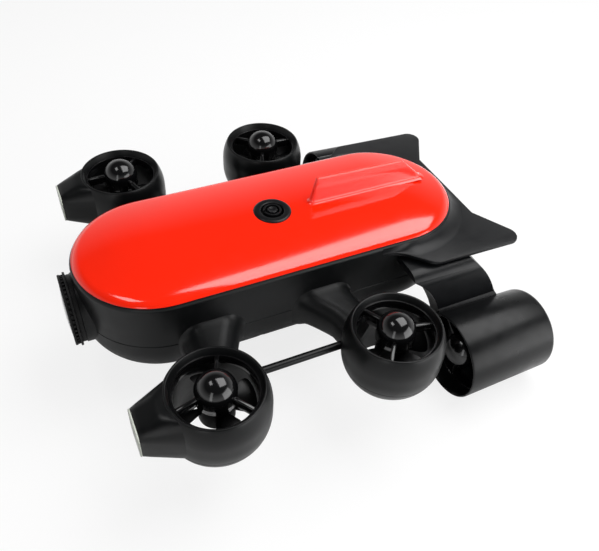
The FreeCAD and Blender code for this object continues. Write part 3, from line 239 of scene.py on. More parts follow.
def boat_form(name, section, steps=40):
    """A half section carried round the bow, along one side, round the stern and back."""
    piece = start_chain(name, [(x, BOW_CENTRE, z) for x, z in section])
    bpy.ops.mesh.select_all(action="SELECT")
    run = (STERN_CENTRE - BOW_CENTRE) * MM
    for centre, way in ((BOW_CENTRE, 1), (STERN_CENTRE, -1)):
        bpy.ops.mesh.spin(steps=steps, angle=pi, center=(0, centre * MM, 0), axis=(0, 0, 1))
        bpy.ops.mesh.extrude_region_move(TRANSFORM_OT_translate={"value": (0, run * way, 0)})
    return smooth(close_mesh(piece))


TINT_PATCH = 34.0
POLISH_PATCH = 11.0


def moulded_plastic(name, colour, roughness, grain_mm, grain_height, coat=0.0, patch=0.05,
                    tone=0.08, shine=0.22):
    """An injection-moulded surface: an even colour, a tool grain and slightly uneven polish.

    Grain size and height are in mm. A real spark-eroded grain is near 0.1 mm, so it is drawn
    coarser, as large as it needs to be to show."""
    made = bpy.data.materials.new(name)
    made.use_nodes = True
    tree = made.node_tree
    tree.nodes.clear()
    place = add_node(tree, "ShaderNodeTexCoord")
    tint = add_node(tree, "ShaderNodeTexNoise", {"Scale": 1 / (TINT_PATCH * MM), "Detail": 3.0},
                    {"Vector": place.outputs["Object"]})
    shade = add_node(tree, "ShaderNodeMapRange",
                     {"From Min": 0.3, "From Max": 0.7, "To Min": 1 - tone, "To Max": 1 + tone},
                     {"Value": tint.outputs[0]})
    mixed = add_node(tree, "ShaderNodeMix", {"Factor": 1.0, 6: linear(colour)},
                     {7: shade.outputs[0]}, data_type="RGBA", blend_type="MULTIPLY")
    polish = add_node(tree, "ShaderNodeTexNoise", {"Scale": 1 / (POLISH_PATCH * MM), "Detail": 4.0},
                      {"Vector": place.outputs["Object"]})
    rough = add_node(tree, "ShaderNodeMapRange",
                     {"From Min": 0.3, "From Max": 0.7, "To Min": roughness - patch,
                      "To Max": roughness + patch}, {"Value": polish.outputs[0]})
    grain = add_node(tree, "ShaderNodeTexNoise", {"Scale": 1 / (grain_mm * MM), "Detail": 2.0},
                     {"Vector": place.outputs["Object"]})
    bump = add_node(tree, "ShaderNodeBump", {"Strength": 1.0, "Distance": grain_height * MM},
                    {"Height": grain.outputs[0]})
    shader = add_node(tree, "ShaderNodeBsdfPrincipled",
                      {"IOR": 1.53, "Specular IOR Level": shine, "Coat Weight": coat,
                       "Coat Roughness": 0.06},
                      {"Base Color": mixed.outputs[2], "Roughness": rough.outputs[0],
                       "Normal": bump.outputs[0]})
    add_node(tree, "ShaderNodeOutputMaterial", {}, {"Surface": shader.outputs[0]})
    return made


def dress(piece, material, body="hull", node=None):
    """Gives a piece its material and slot, the body it rides on and the node it stands for."""
    piece.data.materials.clear()
    piece.data.materials.append(material)
    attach(piece, body)
    if node:
        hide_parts(node)


def turned(name, section, centre, axis="Z", steps=72, angle=35):
    """A section of (radius, height) turned round an upright or a lengthwise axis."""
    cx, cy, cz = centre
    if axis == "Z":
        points, pole = [(cx + r, cy, cz + h) for r, h in section], (0, 0, 1)
    else:
        points, pole = [(cx + r, cy + h, cz) for r, h in section], (0, 1, 0)
    piece = start_chain(name, points)
    bpy.ops.mesh.select_all(action="SELECT")
    bpy.ops.mesh.spin(steps=steps, angle=2 * pi, center=Vector(centre) * MM, axis=pole)
    return smooth(close_mesh(piece), angle)


def cut_by(piece, cutter):
    """Takes one closed piece out of another."""
    cut = piece.modifiers.new("cut", "BOOLEAN")
    cut.operation = "DIFFERENCE"
    cut.solver = "EXACT"
    cut.object = cutter
    bpy.context.view_layer.objects.active = piece
    bpy.ops.object.modifier_apply(modifier=cut.name)
    bpy.data.objects.remove(cutter)


def bored(piece, start, radius, reach, axis="Z"):
    """Bores a round hole from a point along an axis through a closed piece."""
    section = [(0, 0), (radius, 0), (radius, reach), (0, reach)]
    cut_by(piece, turned("bit", section, start, axis))
    smooth(piece)


# Satin black ABS with a fine mould grain: soft, broad highlights and no sparkle.
satin_abs = moulded_plastic("satin_black_abs", "#0A0B0C", 0.38, 0.55, 0.010)

SEAL_OUTER = COVER_HALF - 0.4
upper = boat_form("upper_hull_moulding", [
    (HULL_HALF - HULL_WALL, PARTING + 0.2),
    (HULL_HALF - 0.35, PARTING + 0.2),
    (HULL_HALF, PARTING + 0.6),
    *edge_between((HULL_HALF, SEAM - 3.4), (HULL_HALF - 1.7, SEAM), 4.2, 8),
    (SEAL_OUTER, SEAM - 0.1),
    (SEAL_OUTER, SEAM - 1.2),
    (SEAL_OUTER - 4.8, SEAM - 1.2),
    (SEAL_OUTER - 4.8, SEAM - 4.6),
    (HULL_HALF - HULL_WALL, SEAM - 9.0),
    (HULL_HALF - HULL_WALL, PARTING + 0.2),
])
NECK_RADIUS = 28.4
NECK_WALL = 2.2
NECK_BORE = NECK_RADIUS - NECK_WALL
CAMERA_Z = SEAM - 39.9
bored(upper, (0, NOSE - 5, CAMERA_Z), NECK_BORE, 20, "Y")
dress(upper, satin_abs, node="upper_hull")

lower = boat_form("lower_hull_pan", [
    (0, BELLY),
    *edge_between((HULL_HALF - BILGE_ROUND, BELLY), (HULL_HALF, BILGE), BILGE_ROUND, 16),
    (HULL_HALF, PARTING - 0.6),
    (HULL_HALF - 0.35, PARTING - 0.2),
    (HULL_HALF - HULL_WALL, PARTING - 0.2),
    (HULL_HALF - HULL_WALL, BILGE),
    *edge_between((HULL_HALF - HULL_WALL, BILGE), (HULL_HALF - BILGE_ROUND, BELLY + HULL_WALL),
                  HULL_WALL - BILGE_ROUND, 12)[1:],
    (0, BELLY + HULL_WALL),
])
bored(lower, (0, NOSE - 5, CAMERA_Z), NECK_BORE, 20, "Y")
SCREW_X = 57
SCREW_WELL = 3.2
SCREW_REACH = 17.3
for way in (1, -1):
    for place in range(4):
        screw_y = BOW_CENTRE + (STERN_CENTRE - BOW_CENTRE) * place / 3
        bored(lower, (way * SCREW_X, screw_y, BELLY), SCREW_WELL, SCREW_REACH)
dress(lower, satin_abs, node="lower_hull")

# ---------------------------------------------------------------------------------------------
# The cover: one thick injection moulding in glossy red ABS, crowned both ways, with a swept fin
# standing on its after half. It presses a thin rubber gasket down on the hull's ledge.

# High-gloss ABS: a hard clear reflection over a saturated body, with a trace of orange peel.
gloss_red = moulded_plastic("gloss_red_abs", "#FA2304", 0.10, 7.0, 0.004, coat=0.45, patch=0.015,
                            tone=0.02, shine=0.5)

EDGE_HEIGHT = 4.0
CROWN = 5.7
EDGE_ROUND = 12
SHOULDER = SEAM + 0.6 + EDGE_HEIGHT
COVER_TOP = SHOULDER + CROWN
cover_half_flat = COVER_HALF - 6.8
crown_radius = (cover_half_flat ** 2 + CROWN ** 2) / (2 * CROWN)
cover = boat_form("cover_shell", [
    (0, COVER_TOP - 2.4),
    (COVER_HALF - 9, SHOULDER - 2.6),
    (COVER_HALF - 2.4, SEAM + 0.2),
    (COVER_HALF - 0.3, SEAM + 0.2),
    (COVER_HALF, SEAM + 0.45),
    *edge_between((COVER_HALF, SEAM + 0.6), (cover_half_flat, SHOULDER), EDGE_ROUND, 10),
    *edge_between((cover_half_flat, SHOULDER), (0, COVER_TOP), crown_radius, 14)[1:],
], steps=56)
PORT_Y = NOSE + 164.5
PORT_HOLE = 11.4
bored(cover, (0, PORT_Y, SEAM - 2), PORT_HOLE, 20)
smooth(cover, 60)
dress(cover, gloss_red, node="top_cover")

FIN_FRONT = NOSE + 198.4
FIN_LENGTH = 111.0
FIN_HEIGHT = 23.6
FIN_FALL = 3.0
FIN_FRONT_RAKE = 5.0
FIN_REAR_RAKE = 23.0


def rounded_loop(width, length, corner, steps=6):
    """Corner points of a rounded rectangle about the middle, going round to the left."""
    loop = []
    for turn, (sx, sy) in enumerate(((1, -1), (1, 1), (-1, 1), (-1, -1))):
        centre = (sx * (width / 2 - corner), sy * (length / 2 - corner))
        loop += arc(centre, corner, -90 + 90 * turn, 90 * turn, steps)
    return loop


def lofted(name, stations, capped=True, angle=35):
    """Closed rings of points, drawn one by one, bridged in order and capped."""
    rings = []
    for ring in stations:
        rings.append(start_chain(name, list(ring) + [ring[0]]))
        close_mesh(rings[-1])
    bpy.ops.object.select_all(action="DESELECT")
    for ring in rings:
        ring.select_set(True)
    bpy.context.view_layer.objects.active = rings[0]
    bpy.ops.object.join()
    piece = rings[0]
    bpy.ops.object.mode_set(mode="EDIT")
    bpy.ops.mesh.select_mode(type="EDGE")
    count = len(stations[0])
    for first in range(len(stations) - 1):
        bpy.ops.mesh.select_all(action="DESELECT")
        bpy.ops.object.mode_set(mode="OBJECT")
        low, high = first * count, (first + 2) * count
        for edge in piece.data.edges:
            a, b = edge.vertices
            edge.select = low <= a < high and low <= b < high and a // count == b // count
        bpy.ops.object.mode_set(mode="EDIT")
        bpy.ops.mesh.bridge_edge_loops()
    if capped:
        for last in (0, len(stations) - 1):
            bpy.ops.object.mode_set(mode="OBJECT")
            for edge in piece.data.edges:
                a, b = edge.vertices
                edge.select = a // count == last and b // count == last
            bpy.ops.object.mode_set(mode="EDIT")
            bpy.ops.mesh.edge_face_add()
            bpy.ops.mesh.select_all(action="DESELECT")
    return smooth(close_mesh(piece), angle)


# The fin is moulded with the cover: its root runs out into the crown with a small fillet. Its
# stations give the share of its height, its thickness there and how far its ends run out.
fin_stations = []
for share, width, run_out in (
        (-0.03, 12.0, 5.6), (0.010, 9.4, 3.0), (0.035, 7.6, 1.2), (0.07, 6.7, 0.3), (0.12, 6.3, 0),
        (0.5, 4.7, 0), (0.955, 3.1, 0), (0.985, 2.7, -0.3), (1.0, 1.7, -0.9)):
    front = FIN_FRONT + FIN_FRONT_RAKE * max(share, 0) - run_out / 2
    back = FIN_FRONT + FIN_LENGTH - FIN_REAR_RAKE * max(share, 0) + run_out / 2
    ring = []
    for x, y in rounded_loop(width, back - front, width * 0.46):
        along = y + (front + back) / 2
        fall = FIN_FALL * (along - FIN_FRONT) / FIN_LENGTH
        ring.append((x, along, COVER_TOP - 0.1 + share * (FIN_HEIGHT - fall)))
    fin_stations.append(ring)
fin = lofted("cover_fin", fin_stations, angle=50)
dress(fin, gloss_red)

# ---------------------------------------------------------------------------------------------
# The socket for the tether: a thin turned flange on the cover, a round well, and the keyed
# collar that the plug slides over. The power button stands inside the collar.


def closed(section):
    """A section's points with the first one again at the end."""
    return list(section) + [section[0]]


# Smoother ABS than the hull's, so the flange's rims catch a thin line of light.
port_abs = moulded_plastic("port_black_abs", "#0E0E10", 0.33, 0.5, 0.006)
# The button's ABS is a shade lighter and a little more polished by thumbs.
button_abs = moulded_plastic("button_black_abs", "#141416", 0.28, 0.5, 0.005)
WELL = 9.7
FLANGE = 15.8
COLLAR = 7.6
COLLAR_BORE = 6.0
CUP = 11.3
STEM_HOLE = 2.05
PORT_TOP = COVER_TOP - 0.5
PORT_FLOOR = PORT_TOP - 5.0
port_centre = (0, PORT_Y, PORT_TOP)
flange = turned("port_flange_ring", closed([
    (WELL, -0.3), (FLANGE, -0.3), (FLANGE, 0.5), (FLANGE - 0.4, 0.9), (14.4, 1.5), (13.9, 1.6),
    (10.6, 1.6), (10.1, 1.45), (WELL, 1.0)]), port_centre)
dress(flange, port_abs, node="port_flange")

socket = turned("tether_socket_cup", closed([
    (STEM_HOLE, -2.4), (CUP, -2.4), (CUP, 4.6), (WELL, 4.6), (WELL, 0.4), (9.3, 0), (7.9, 0),
    (COLLAR, 0.3), (COLLAR, 7.0), (7.3, 7.35), (6.3, 7.35), (COLLAR_BORE, 7.0), (COLLAR_BORE, 0),
    (STEM_HOLE, 0)]), (0, PORT_Y, PORT_FLOOR))

# The keyway for the plug is a slot down the collar's forward side.
bpy.ops.object.select_all(action="DESELECT")
bpy.ops.mesh.primitive_cube_add(size=1, location=Vector((0, PORT_Y - 7.0, PORT_FLOOR + 4.5)) * MM)
keyway = bpy.context.object
keyway.scale = Vector((1.8, 3.4, 8.4)) * MM
bpy.ops.object.transform_apply(location=True, rotation=True, scale=True)
cut_by(socket, keyway)
smooth(socket)
dress(socket, port_abs, node="tether_socket")

button = turned("power_button_cap", [
    (0, -7.0), (2.0, -7.0), (2.0, 1.5), (3.9, 1.5), (4.3, 1.9), (4.3, 6.6), (4.15, 7.05),
    (3.8, 7.3), (3.3, 7.3), (2.95, 7.15), (2.7, 6.75), (2.0, 6.5), (0, 6.45)],
    (0, PORT_Y, PORT_FLOOR))
dress(button, button_abs, body="power_button", node="power_button")

# ---------------------------------------------------------------------------------------------
# The nose: a moulded nylon bezel with grip teeth screws onto the hull's neck and traps a thick
# clear window. The camera's tube and its lens unit stand close behind the window.

NECK_FRONT = NOSE - 2.5
BEZEL_FRONT = NECK_FRONT - 9.3
RING = 30.2
nose_centre = (0, 0, CAMERA_Z)
# Glass-filled nylon: matte, with a coarser grain than the hull's.
bezel_nylon = moulded_plastic("bezel_black_nylon", "#0D0D0E", 0.55, 0.8, 0.016)
# Matte black inside the tube, so that no stray light reaches the lens.
camera_black = moulded_plastic("camera_matte_black", "#0E0E10", 0.5, 0.5, 0.008)

neck = turned("hull_neck", closed([
    (NECK_BORE, NECK_FRONT), (NECK_RADIUS - 0.4, NECK_FRONT), (NECK_RADIUS, NECK_FRONT + 0.4),
    (NECK_RADIUS, NOSE + 3), (NECK_RADIUS + 1.2, NOSE + 5.5), (NECK_RADIUS + 2, NOSE + 10),
    (NECK_BORE, NOSE + 10)]), nose_centre, axis="Y", steps=96)
dress(neck, satin_abs)

bezel = turned("camera_bezel_ring", closed([
    (RING - 7.0, BEZEL_FRONT + 3.0), (RING - 7.0, BEZEL_FRONT + 0.6), (RING - 6.4, BEZEL_FRONT),
    (RING - 1.8, BEZEL_FRONT), (RING - 1.3, BEZEL_FRONT + 0.5), (RING - 1.3, BEZEL_FRONT + 1.6),
    (RING - 1.7, BEZEL_FRONT + 2.0), (RING - 3.4, BEZEL_FRONT + 2.0),
    (RING - 3.4, BEZEL_FRONT + 4.2), (RING - 0.4, BEZEL_FRONT + 4.2), (RING, BEZEL_FRONT + 4.6),
    (RING, BEZEL_FRONT + 5.6), (RING - 0.4, BEZEL_FRONT + 6.0), (RING - 2.6, BEZEL_FRONT + 6.2),
    (RING - 2.6, NECK_FRONT - 0.1), (RING - 9.0, NECK_FRONT - 0.1),
    (RING - 9.0, BEZEL_FRONT + 3.0)]),
    nose_centre, axis="Y", steps=120)
dress(bezel, bezel_nylon, node="camera_bezel")

TEETH = 44
TOOTH_SIZE = (1.9, 2.4, 2.0)
bpy.ops.object.select_all(action="DESELECT")
bpy.ops.mesh.primitive_cube_add(
    size=1, location=Vector((0, BEZEL_FRONT + 3.1, CAMERA_Z + RING - 2.8)) * MM)
teeth = bpy.context.object
teeth.name = "bezel_grip_teeth"
teeth.scale = Vector(TOOTH_SIZE) * MM
bpy.ops.object.transform_apply(location=True, rotation=True, scale=True)
bpy.ops.object.mode_set(mode="EDIT")
bpy.ops.mesh.select_all(action="SELECT")
bpy.ops.mesh.bevel(offset=0.35 * MM, segments=2, affect="EDGES")
bpy.ops.mesh.select_all(action="SELECT")
bpy.ops.mesh.spin(steps=TEETH - 1, dupli=True, angle=2 * pi * (TEETH - 1) / TEETH,
                  center=Vector(nose_centre) * MM, axis=(0, 1, 0))
smooth(close_mesh(teeth, 0.0001))
dress(teeth, bezel_nylon)

tube = turned("camera_tube", closed([
    (NECK_BORE - 2.6, NECK_FRONT + 0.1), (NECK_BORE - 0.1, NECK_FRONT + 0.1),
    (NECK_BORE - 0.1, NOSE + 20), (0, NOSE + 20), (0, NOSE + 18),
    (NECK_BORE - 2.6, NOSE + 18)])[:-1], nose_centre, axis="Y")
dress(tube, camera_black, node="camera_barrel")
LENS_BASE = 22.6
LENS_BARREL = 11.0
lens_unit = turned("camera_lens_unit", [
    (0, NOSE + 17.8), (LENS_BASE, NOSE + 17.8), (LENS_BASE, NOSE + 8.2),
    (LENS_BASE - 0.8, NOSE + 7.6), (LENS_BARREL + 0.6, NOSE + 7.6), (LENS_BARREL, NOSE + 7.0),
    (LENS_BARREL, NOSE - 2.4), (LENS_BARREL - 0.6, NOSE - 3.0), (8.4, NOSE - 3.0),
    (7.0, NOSE + 0.4), (5.0, NOSE + 1.2), (0, NOSE + 0.8)], nose_centre, axis="Y")
dress(lens_unit, camera_black, node="camera_module")

# Clear polycarbonate, 3 mm thick: a dark, clean reflection with the camera just visible inside.
clear = bpy.data.materials.new("clear_polycarbonate")
clear.use_nodes = True
clear.node_tree.nodes.clear()
glass = add_node(clear.node_tree, "ShaderNodeBsdfPrincipled",
                 {"Base Color": linear("#EEF3F6"), "Roughness": 0.02, "IOR": 1.58,
                  "Transmission Weight": 1.0})
add_node(clear.node_tree, "ShaderNodeOutputMaterial", {}, {"Surface": glass.outputs[0]})
PANE = RING - 7.1
window = turned("camera_window_disc", [
    (0, BEZEL_FRONT + 2.9), (PANE - 0.4, BEZEL_FRONT + 2.9), (PANE, BEZEL_FRONT + 2.6),
    (PANE, BEZEL_FRONT + 0.8), (PANE - 0.3, BEZEL_FRONT + 0.3),
    *[(PANE * share, BEZEL_FRONT - 1.3 + 1.45 * share ** 2)
      for share in (0.95, 0.8, 0.6, 0.4, 0.2, 0)]],
    nose_centre, axis="Y", steps=96, angle=40)
dress(window, clear, node="camera_window")

# ---------------------------------------------------------------------------------------------
# The pods: four balls of ABS in two mouldings, each with a vertical duct through it. The upper
# moulding has a thin polished lip; the stator ring drops in under it.

POD_X = 132.4
POD_Z = SEAM - 13.5
POD_BALL = 39.8
EQUATOR = 18.57
WAIST = EQUATOR + 8.0
POD_PARTING = WAIST + 10.4
POD_HEIGHT = 54.95
POD_BORE = 30.0
STATOR_SEAT = 31.55
SIDES = (("left", 1), ("right", -1))
pod_rows = {"front": NOSE + 66.9, "rear": NOSE + 210.6}
# The pods' ABS is a shade darker than the hull's and holds a tighter highlight.
pod_abs = moulded_plastic("pod_satin_black_abs", "#090A0B", 0.33, 0.55, 0.008)


def ball(depth):
    """A pod's outer radius at a depth below its lip."""
    if depth < EQUATOR:
        return sqrt(POD_BALL ** 2 - (EQUATOR - depth) ** 2)
    return sqrt(POD_BALL ** 2 - max(depth - WAIST, 0) ** 2)


def ball_wall(first, last, steps):
    """Points of a pod's outside between two depths."""
    return [(ball(first + (last - first) * i / steps), -(first + (last - first) * i / steps))
            for i in range(steps + 1)]


def to_side(piece, name, way, shift=(0, 0, 0)):
    """A copy with its own mesh, moved, and mirrored to the right side when way is -1."""
    copy = piece.copy()
    copy.data = piece.data.copy()
    copy.name = name
    bpy.context.scene.collection.objects.link(copy)
    pick(copy)
    bpy.ops.object.mode_set(mode="EDIT")
    bpy.ops.mesh.select_all(action="SELECT")
    bpy.ops.transform.translate(value=Vector(shift) * MM)
    if way < 0:
        bpy.ops.transform.resize(value=(-1, 1, 1), center_override=(0, 0, 0))
        bpy.ops.mesh.normals_make_consistent(inside=False)
    bpy.ops.object.mode_set(mode="OBJECT")
    return copy


upper_section = closed([
    (POD_BORE, -POD_PARTING + 0.1), (POD_BORE, -13.0), (STATOR_SEAT, -13.0), (STATOR_SEAT, -5.2),
    (31.7, -4.9), (33.5, -0.6), (33.8, -0.15), (34.2, 0.0), (34.75, 0.0), (35.15, -0.2),
    *ball_wall(0.7, POD_PARTING - 0.45, 26), (38.1, -POD_PARTING + 0.1)])
lower_section = closed([
    (POD_BORE, -POD_PARTING), (38.1, -POD_PARTING), (38.2, -POD_PARTING - 0.3),
    *ball_wall(POD_PARTING + 0.5, POD_HEIGHT - 0.4, 14), (27.3, -POD_HEIGHT), (26.7, -POD_HEIGHT),
    (26.5, -POD_HEIGHT + 0.4), (POD_BORE, -POD_HEIGHT + 9)])
first_row = pod_rows["front"]
upper_master = turned("pod_upper_master", upper_section, (POD_X, first_row, POD_Z), steps=96)
lower_master = turned("pod_lower_master", lower_section, (POD_X, first_row, POD_Z), steps=96)
for row, row_y in pod_rows.items():
    for side, way in SIDES:
        shift = (0, row_y - first_row, 0)
        shell = to_side(upper_master, f"{side}_{row}_pod_ball", way, shift)
        dress(shell, pod_abs, node=f"{side}_{row}_pod_shell")
        outlet = to_side(lower_master, f"{side}_{row}_pod_base", way, shift)
        dress(outlet, pod_abs, node=f"{side}_{row}_pod_outlet")
bpy.data.objects.remove(upper_master)
bpy.data.objects.remove(lower_master)

# ---------------------------------------------------------------------------------------------
# Each pod's stator is a glossy hub carried by three thin, deep spokes from a ring. The hub holds
# the motor. The four-bladed propeller turns just below, its blades on the motor's bell.

# Polished black ABS: small, bright reflections on the hubs.
gloss_black = moulded_plastic("gloss_black_abs", "#0A0A0B", 0.13, 5.0, 0.004, coat=0.25, patch=0.02,
                              shine=0.4)
# Filled nylon, satin from the mould.
propeller_nylon = moulded_plastic("propeller_black_nylon", "#0B0B0C", 0.34, 0.6, 0.008)


def spun_copies(count, centre, pole):
    """Repeats what is selected in edit mode evenly round an axis."""
    bpy.ops.mesh.spin(steps=count - 1, dupli=True, angle=2 * pi * (count - 1) / count,
                      center=Vector(centre) * MM, axis=pole)


def round_edges(piece, width, segments):
    """Rounds the sharp edges of a closed piece."""
    edges = piece.modifiers.new("edges", "BEVEL")
    edges.width = width * MM
    edges.segments = segments
    edges.angle_limit = radians(40)
    bpy.context.view_layer.objects.active = piece
    bpy.ops.object.modifier_apply(modifier=edges.name)


def slab(name, corners, thickness, bevel):
    """A flat plate drawn by its corners, extruded by a vector, with rounded edges if asked."""
    piece = start_chain(name, closed(corners))
    bpy.ops.mesh.select_all(action="SELECT")
    bpy.ops.mesh.remove_doubles(threshold=0.004 * MM)
    bpy.ops.mesh.edge_face_add()
    bpy.ops.mesh.extrude_region_move(TRANSFORM_OT_translate={"value": Vector(thickness) * MM})
    close_mesh(piece)
    if not bevel:
        return piece
    round_edges(piece, bevel, 3)
    return smooth(piece)


def join(pieces):
    """Makes one piece of several, named as the first."""
    bpy.ops.object.select_all(action="DESELECT")
    for piece in pieces:
        piece.select_set(True)
    bpy.context.view_layer.objects.active = pieces[0]
    bpy.ops.object.join()
    return pieces[0]


SPOKES = 3
BLADES = 4
SHAFT_HOLE = 2.05
ROOT_PITCH = 46
PITCH_DROP = 19
BLADE_CAMBER = 1.7
BLADE_POINTS = 16


def thruster(prefix, centre, hub, spokes, ring, blades, lengthwise=False):
    """Stator and propeller about an upright axis, then laid down along the vehicle if asked.

    hub is (radius, top, dome rise, bottom); spokes is (angle, thickness, depth, root top, tip top);
    ring is (bore, outside, top, bottom); blades is (bell radius, bell top, bell bottom, tip radius,
    root chord, tip chord)."""
    hub_radius, hub_top, rise, hub_low = hub
    dome = (hub_radius ** 2 + rise ** 2) / (2 * rise)
    body = turned(prefix + "_hub", [
        (SHAFT_HOLE, hub_low), (hub_radius - 0.5, hub_low), (hub_radius, hub_low + 0.5),
        (hub_radius, hub_top - 0.3),
        *edge_between((hub_radius - 0.15, hub_top + 0.3), (0, hub_top + rise), dome, 14)],
        centre, steps=64, angle=50)
    angle, thick, depth, root_top, tip_top = spokes
    bore, outside, ring_top, ring_low = ring
    cx, cy, cz = centre
    side = Vector((-sin(radians(angle)), cos(radians(angle)), 0))
    out = Vector((cos(radians(angle)), sin(radians(angle)), 0))
    base = Vector(centre) - side * thick / 2
    corners = [base + out * r + Vector((0, 0, h)) for r, h in (
        (hub_radius - 1.5, root_top), (bore + 0.6, tip_top), (bore + 0.6, tip_top - depth),
        (hub_radius - 1.5, root_top - depth))]
    spoke = slab(prefix + "_spoke", corners, side * thick, thick * 0.32)
    bpy.ops.object.mode_set(mode="EDIT")
    bpy.ops.mesh.select_all(action="SELECT")
    spun_copies(SPOKES, centre, (0, 0, 1))
    bpy.ops.object.mode_set(mode="OBJECT")
    rim = turned(prefix + "_rim", closed([
        (bore, ring_low), (outside, ring_low), (outside, ring_top - 0.2), (outside - 0.2, ring_top),
        (bore + 0.2, ring_top), (bore, ring_top - 0.3)]), centre)
    stator = join([body, spoke, rim])
    bell, bell_top, bell_low, tip, root_chord, tip_chord = blades
    middle = (bell_top + bell_low) / 2
    stations = []
    for share in (0, 0.2, 0.4, 0.6, 0.8, 0.93, 1.0):
        reach = bell - 1.2 + (tip - bell + 1.2) * share
        chord = root_chord + (tip_chord - root_chord) * min(1.35 * share, 1)
        chord -= 2.4 if share == 1 else 0
        pitch = radians(ROOT_PITCH - PITCH_DROP * share)
        ring_points = []
        for step in range(BLADE_POINTS):
            around = step / BLADE_POINTS * 2 * pi
            run = cos(around) * chord / 2
            camber = BLADE_CAMBER * (1 - (2 * run / chord) ** 2)
            up = camber + sin(around) * (0.95 - 0.35 * share)
            y = run * cos(pitch) - up * sin(pitch)
            x = sqrt(max(reach * reach - y * y, 1))
            ring_points.append((cx + x, cy + y, cz + middle + run * sin(pitch) + up * cos(pitch)))
        stations.append(ring_points)
    blade = lofted(prefix + "_blade", stations, angle=50)
    bpy.ops.object.mode_set(mode="EDIT")
    bpy.ops.mesh.select_all(action="SELECT")
    spun_copies(BLADES, centre, (0, 0, 1))
    bpy.ops.object.mode_set(mode="OBJECT")
    motor_bell = turned(prefix + "_bell", [
        (bell - 2.4, bell_top), (bell - 0.4, bell_top), (bell, bell_top - 0.4), (bell, bell_low),
        *edge_between((bell, bell_low), (0, bell_low - 6.0), -(bell ** 2 + 36) / 12, 8)[1:]],
        centre, steps=48)
    rotor = join([motor_bell, blade])
    if lengthwise:
        for piece in (stator, rotor):
            pick(piece)
            laid = Matrix.Translation(Vector(centre) * MM) @ Matrix.Rotation(pi / 2, 4, "X")
            piece.matrix_world = laid @ Matrix.Translation(-Vector(centre) * MM)
            bpy.ops.object.transform_apply(location=True, rotation=True, scale=True)
    return stator, rotor


spoke_turn = {"front": 39, "rear": 83}
for row, row_y in pod_rows.items():
    stator, rotor = thruster(
        row + "_lift", (POD_X, row_y, POD_Z), (15.2, -2.0, 12.0, -13.5),
        (spoke_turn[row], 3.5, 8.0, -3.0, -5.2), (POD_BORE, STATOR_SEAT, -5.0, -13.0),
        (13.3, -15.7, -31.5, 29.0, 13.0, 25.0))
    for side, way in SIDES:
        dress(to_side(stator, f"{side}_{row}_lift_stator", way), gloss_black,
              node=f"{side}_{row}_pod_stator")
        dress(to_side(rotor, f"{side}_{row}_lift_propeller", way), propeller_nylon,
              body=f"{side}_{row}_pod_propeller",
              node=f"{side}_{row}_pod_propeller")
    bpy.data.objects.remove(stator)
    bpy.data.objects.remove(rotor)

# ---------------------------------------------------------------------------------------------
# The arms: tapering, swept brackets moulded on the pods' sides, with a soft flare where they are
# screwed against the hull from inside. A thin tie rod joins the two pods on each side.


ARM_Z = SEAM - 44.5
ARM_END = 32.0


def arm_station(across, centre_y, width, height, corner):
    """An arm's rounded section at a distance from the hull's middle."""
    return [(across, centre_y + y, ARM_Z + z) for y, z in rounded_loop(width, height, corner, 8)]


for row, sweep in (("front", 17.0), ("rear", -22.5)):
    row_y = pod_rows[row]
    stations = []
    for out, width, height, corner in (
            (-1.5, 58.0, 42.0, 17), (0.2, 54.0, 40.0, 17), (1.4, 51.0, 38.4, 17),
            (3.2, 48.6, 37.0, 16.5), (6.5, 45.6, 35.6, 16.3), (11, 43.0, 34.8, 16),
            (17, 40.4, 34.2, 16), (23, 38.0, 33.8, 16), (29, 36.0, 33.4, 15.5)):
        across = HULL_HALF + out
        lean = tan(radians(sweep)) * (POD_X - across)
        stations.append(arm_station(across, row_y + lean, width, height, corner))
    tip = []
    for x, y, z in arm_station(0, row_y + tan(radians(sweep)) * ARM_END, 34.0, 33.0, 15):
        tip.append((POD_X - sqrt(ARM_END ** 2 - min(abs(y - row_y), ARM_END - 0.5) ** 2), y, z))
    stations.append(tip)
    arm = lofted(row + "_arm_master", stations, angle=50)
    for side, way in SIDES:
        dress(to_side(arm, f"{side}_{row}_pod_arm", way), satin_abs,
              node=f"{side}_{row}_arm")
    bpy.data.objects.remove(arm)

ROD_RADIUS = 3.2
ROD_X = 112.5
ROD_Z = SEAM - 42.5
ROD_INSET = 33.0
rod_start = pod_rows["front"] + ROD_INSET
rod_end = pod_rows["rear"] - ROD_INSET
rod = turned("tie_rod_master",
             [(0, rod_start), (ROD_RADIUS, rod_start), (ROD_RADIUS, rod_end), (0, rod_end)],
             (ROD_X, 0, ROD_Z), axis="Y", steps=32)
for side, way in SIDES:
    dress(to_side(rod, f"{side}_pod_tie_rod", way), pod_abs, node=f"{side}_tie_rod")
bpy.data.objects.remove(rod)

# ---------------------------------------------------------------------------------------------
# The lamps: a moulded snout on each front pod that grows from a rounded square face into the
# ball. A frosted window covers its whole face and a small board with four emitters sits behind.

LAMP_Y = NOSE + 8.5
LAMP_Z = SEAM - 35.5
LENS = 1.4


def lamp_ring(y, size, corner):
    """A rounded square round the lamp's axis at a place along the vehicle."""
    return [(POD_X + x, y, LAMP_Z + z) for x, z in rounded_loop(size, size, corner, 8)]


FACE = 28.0
FACE_CORNER = 7.0
face_y = LAMP_Y + LENS
snout_top = POD_Z - 0.8
face_ring = lamp_ring(face_y, FACE, FACE_CORNER)
root_ring = lamp_ring(face_y + 34.0, 58.0, 25.0)

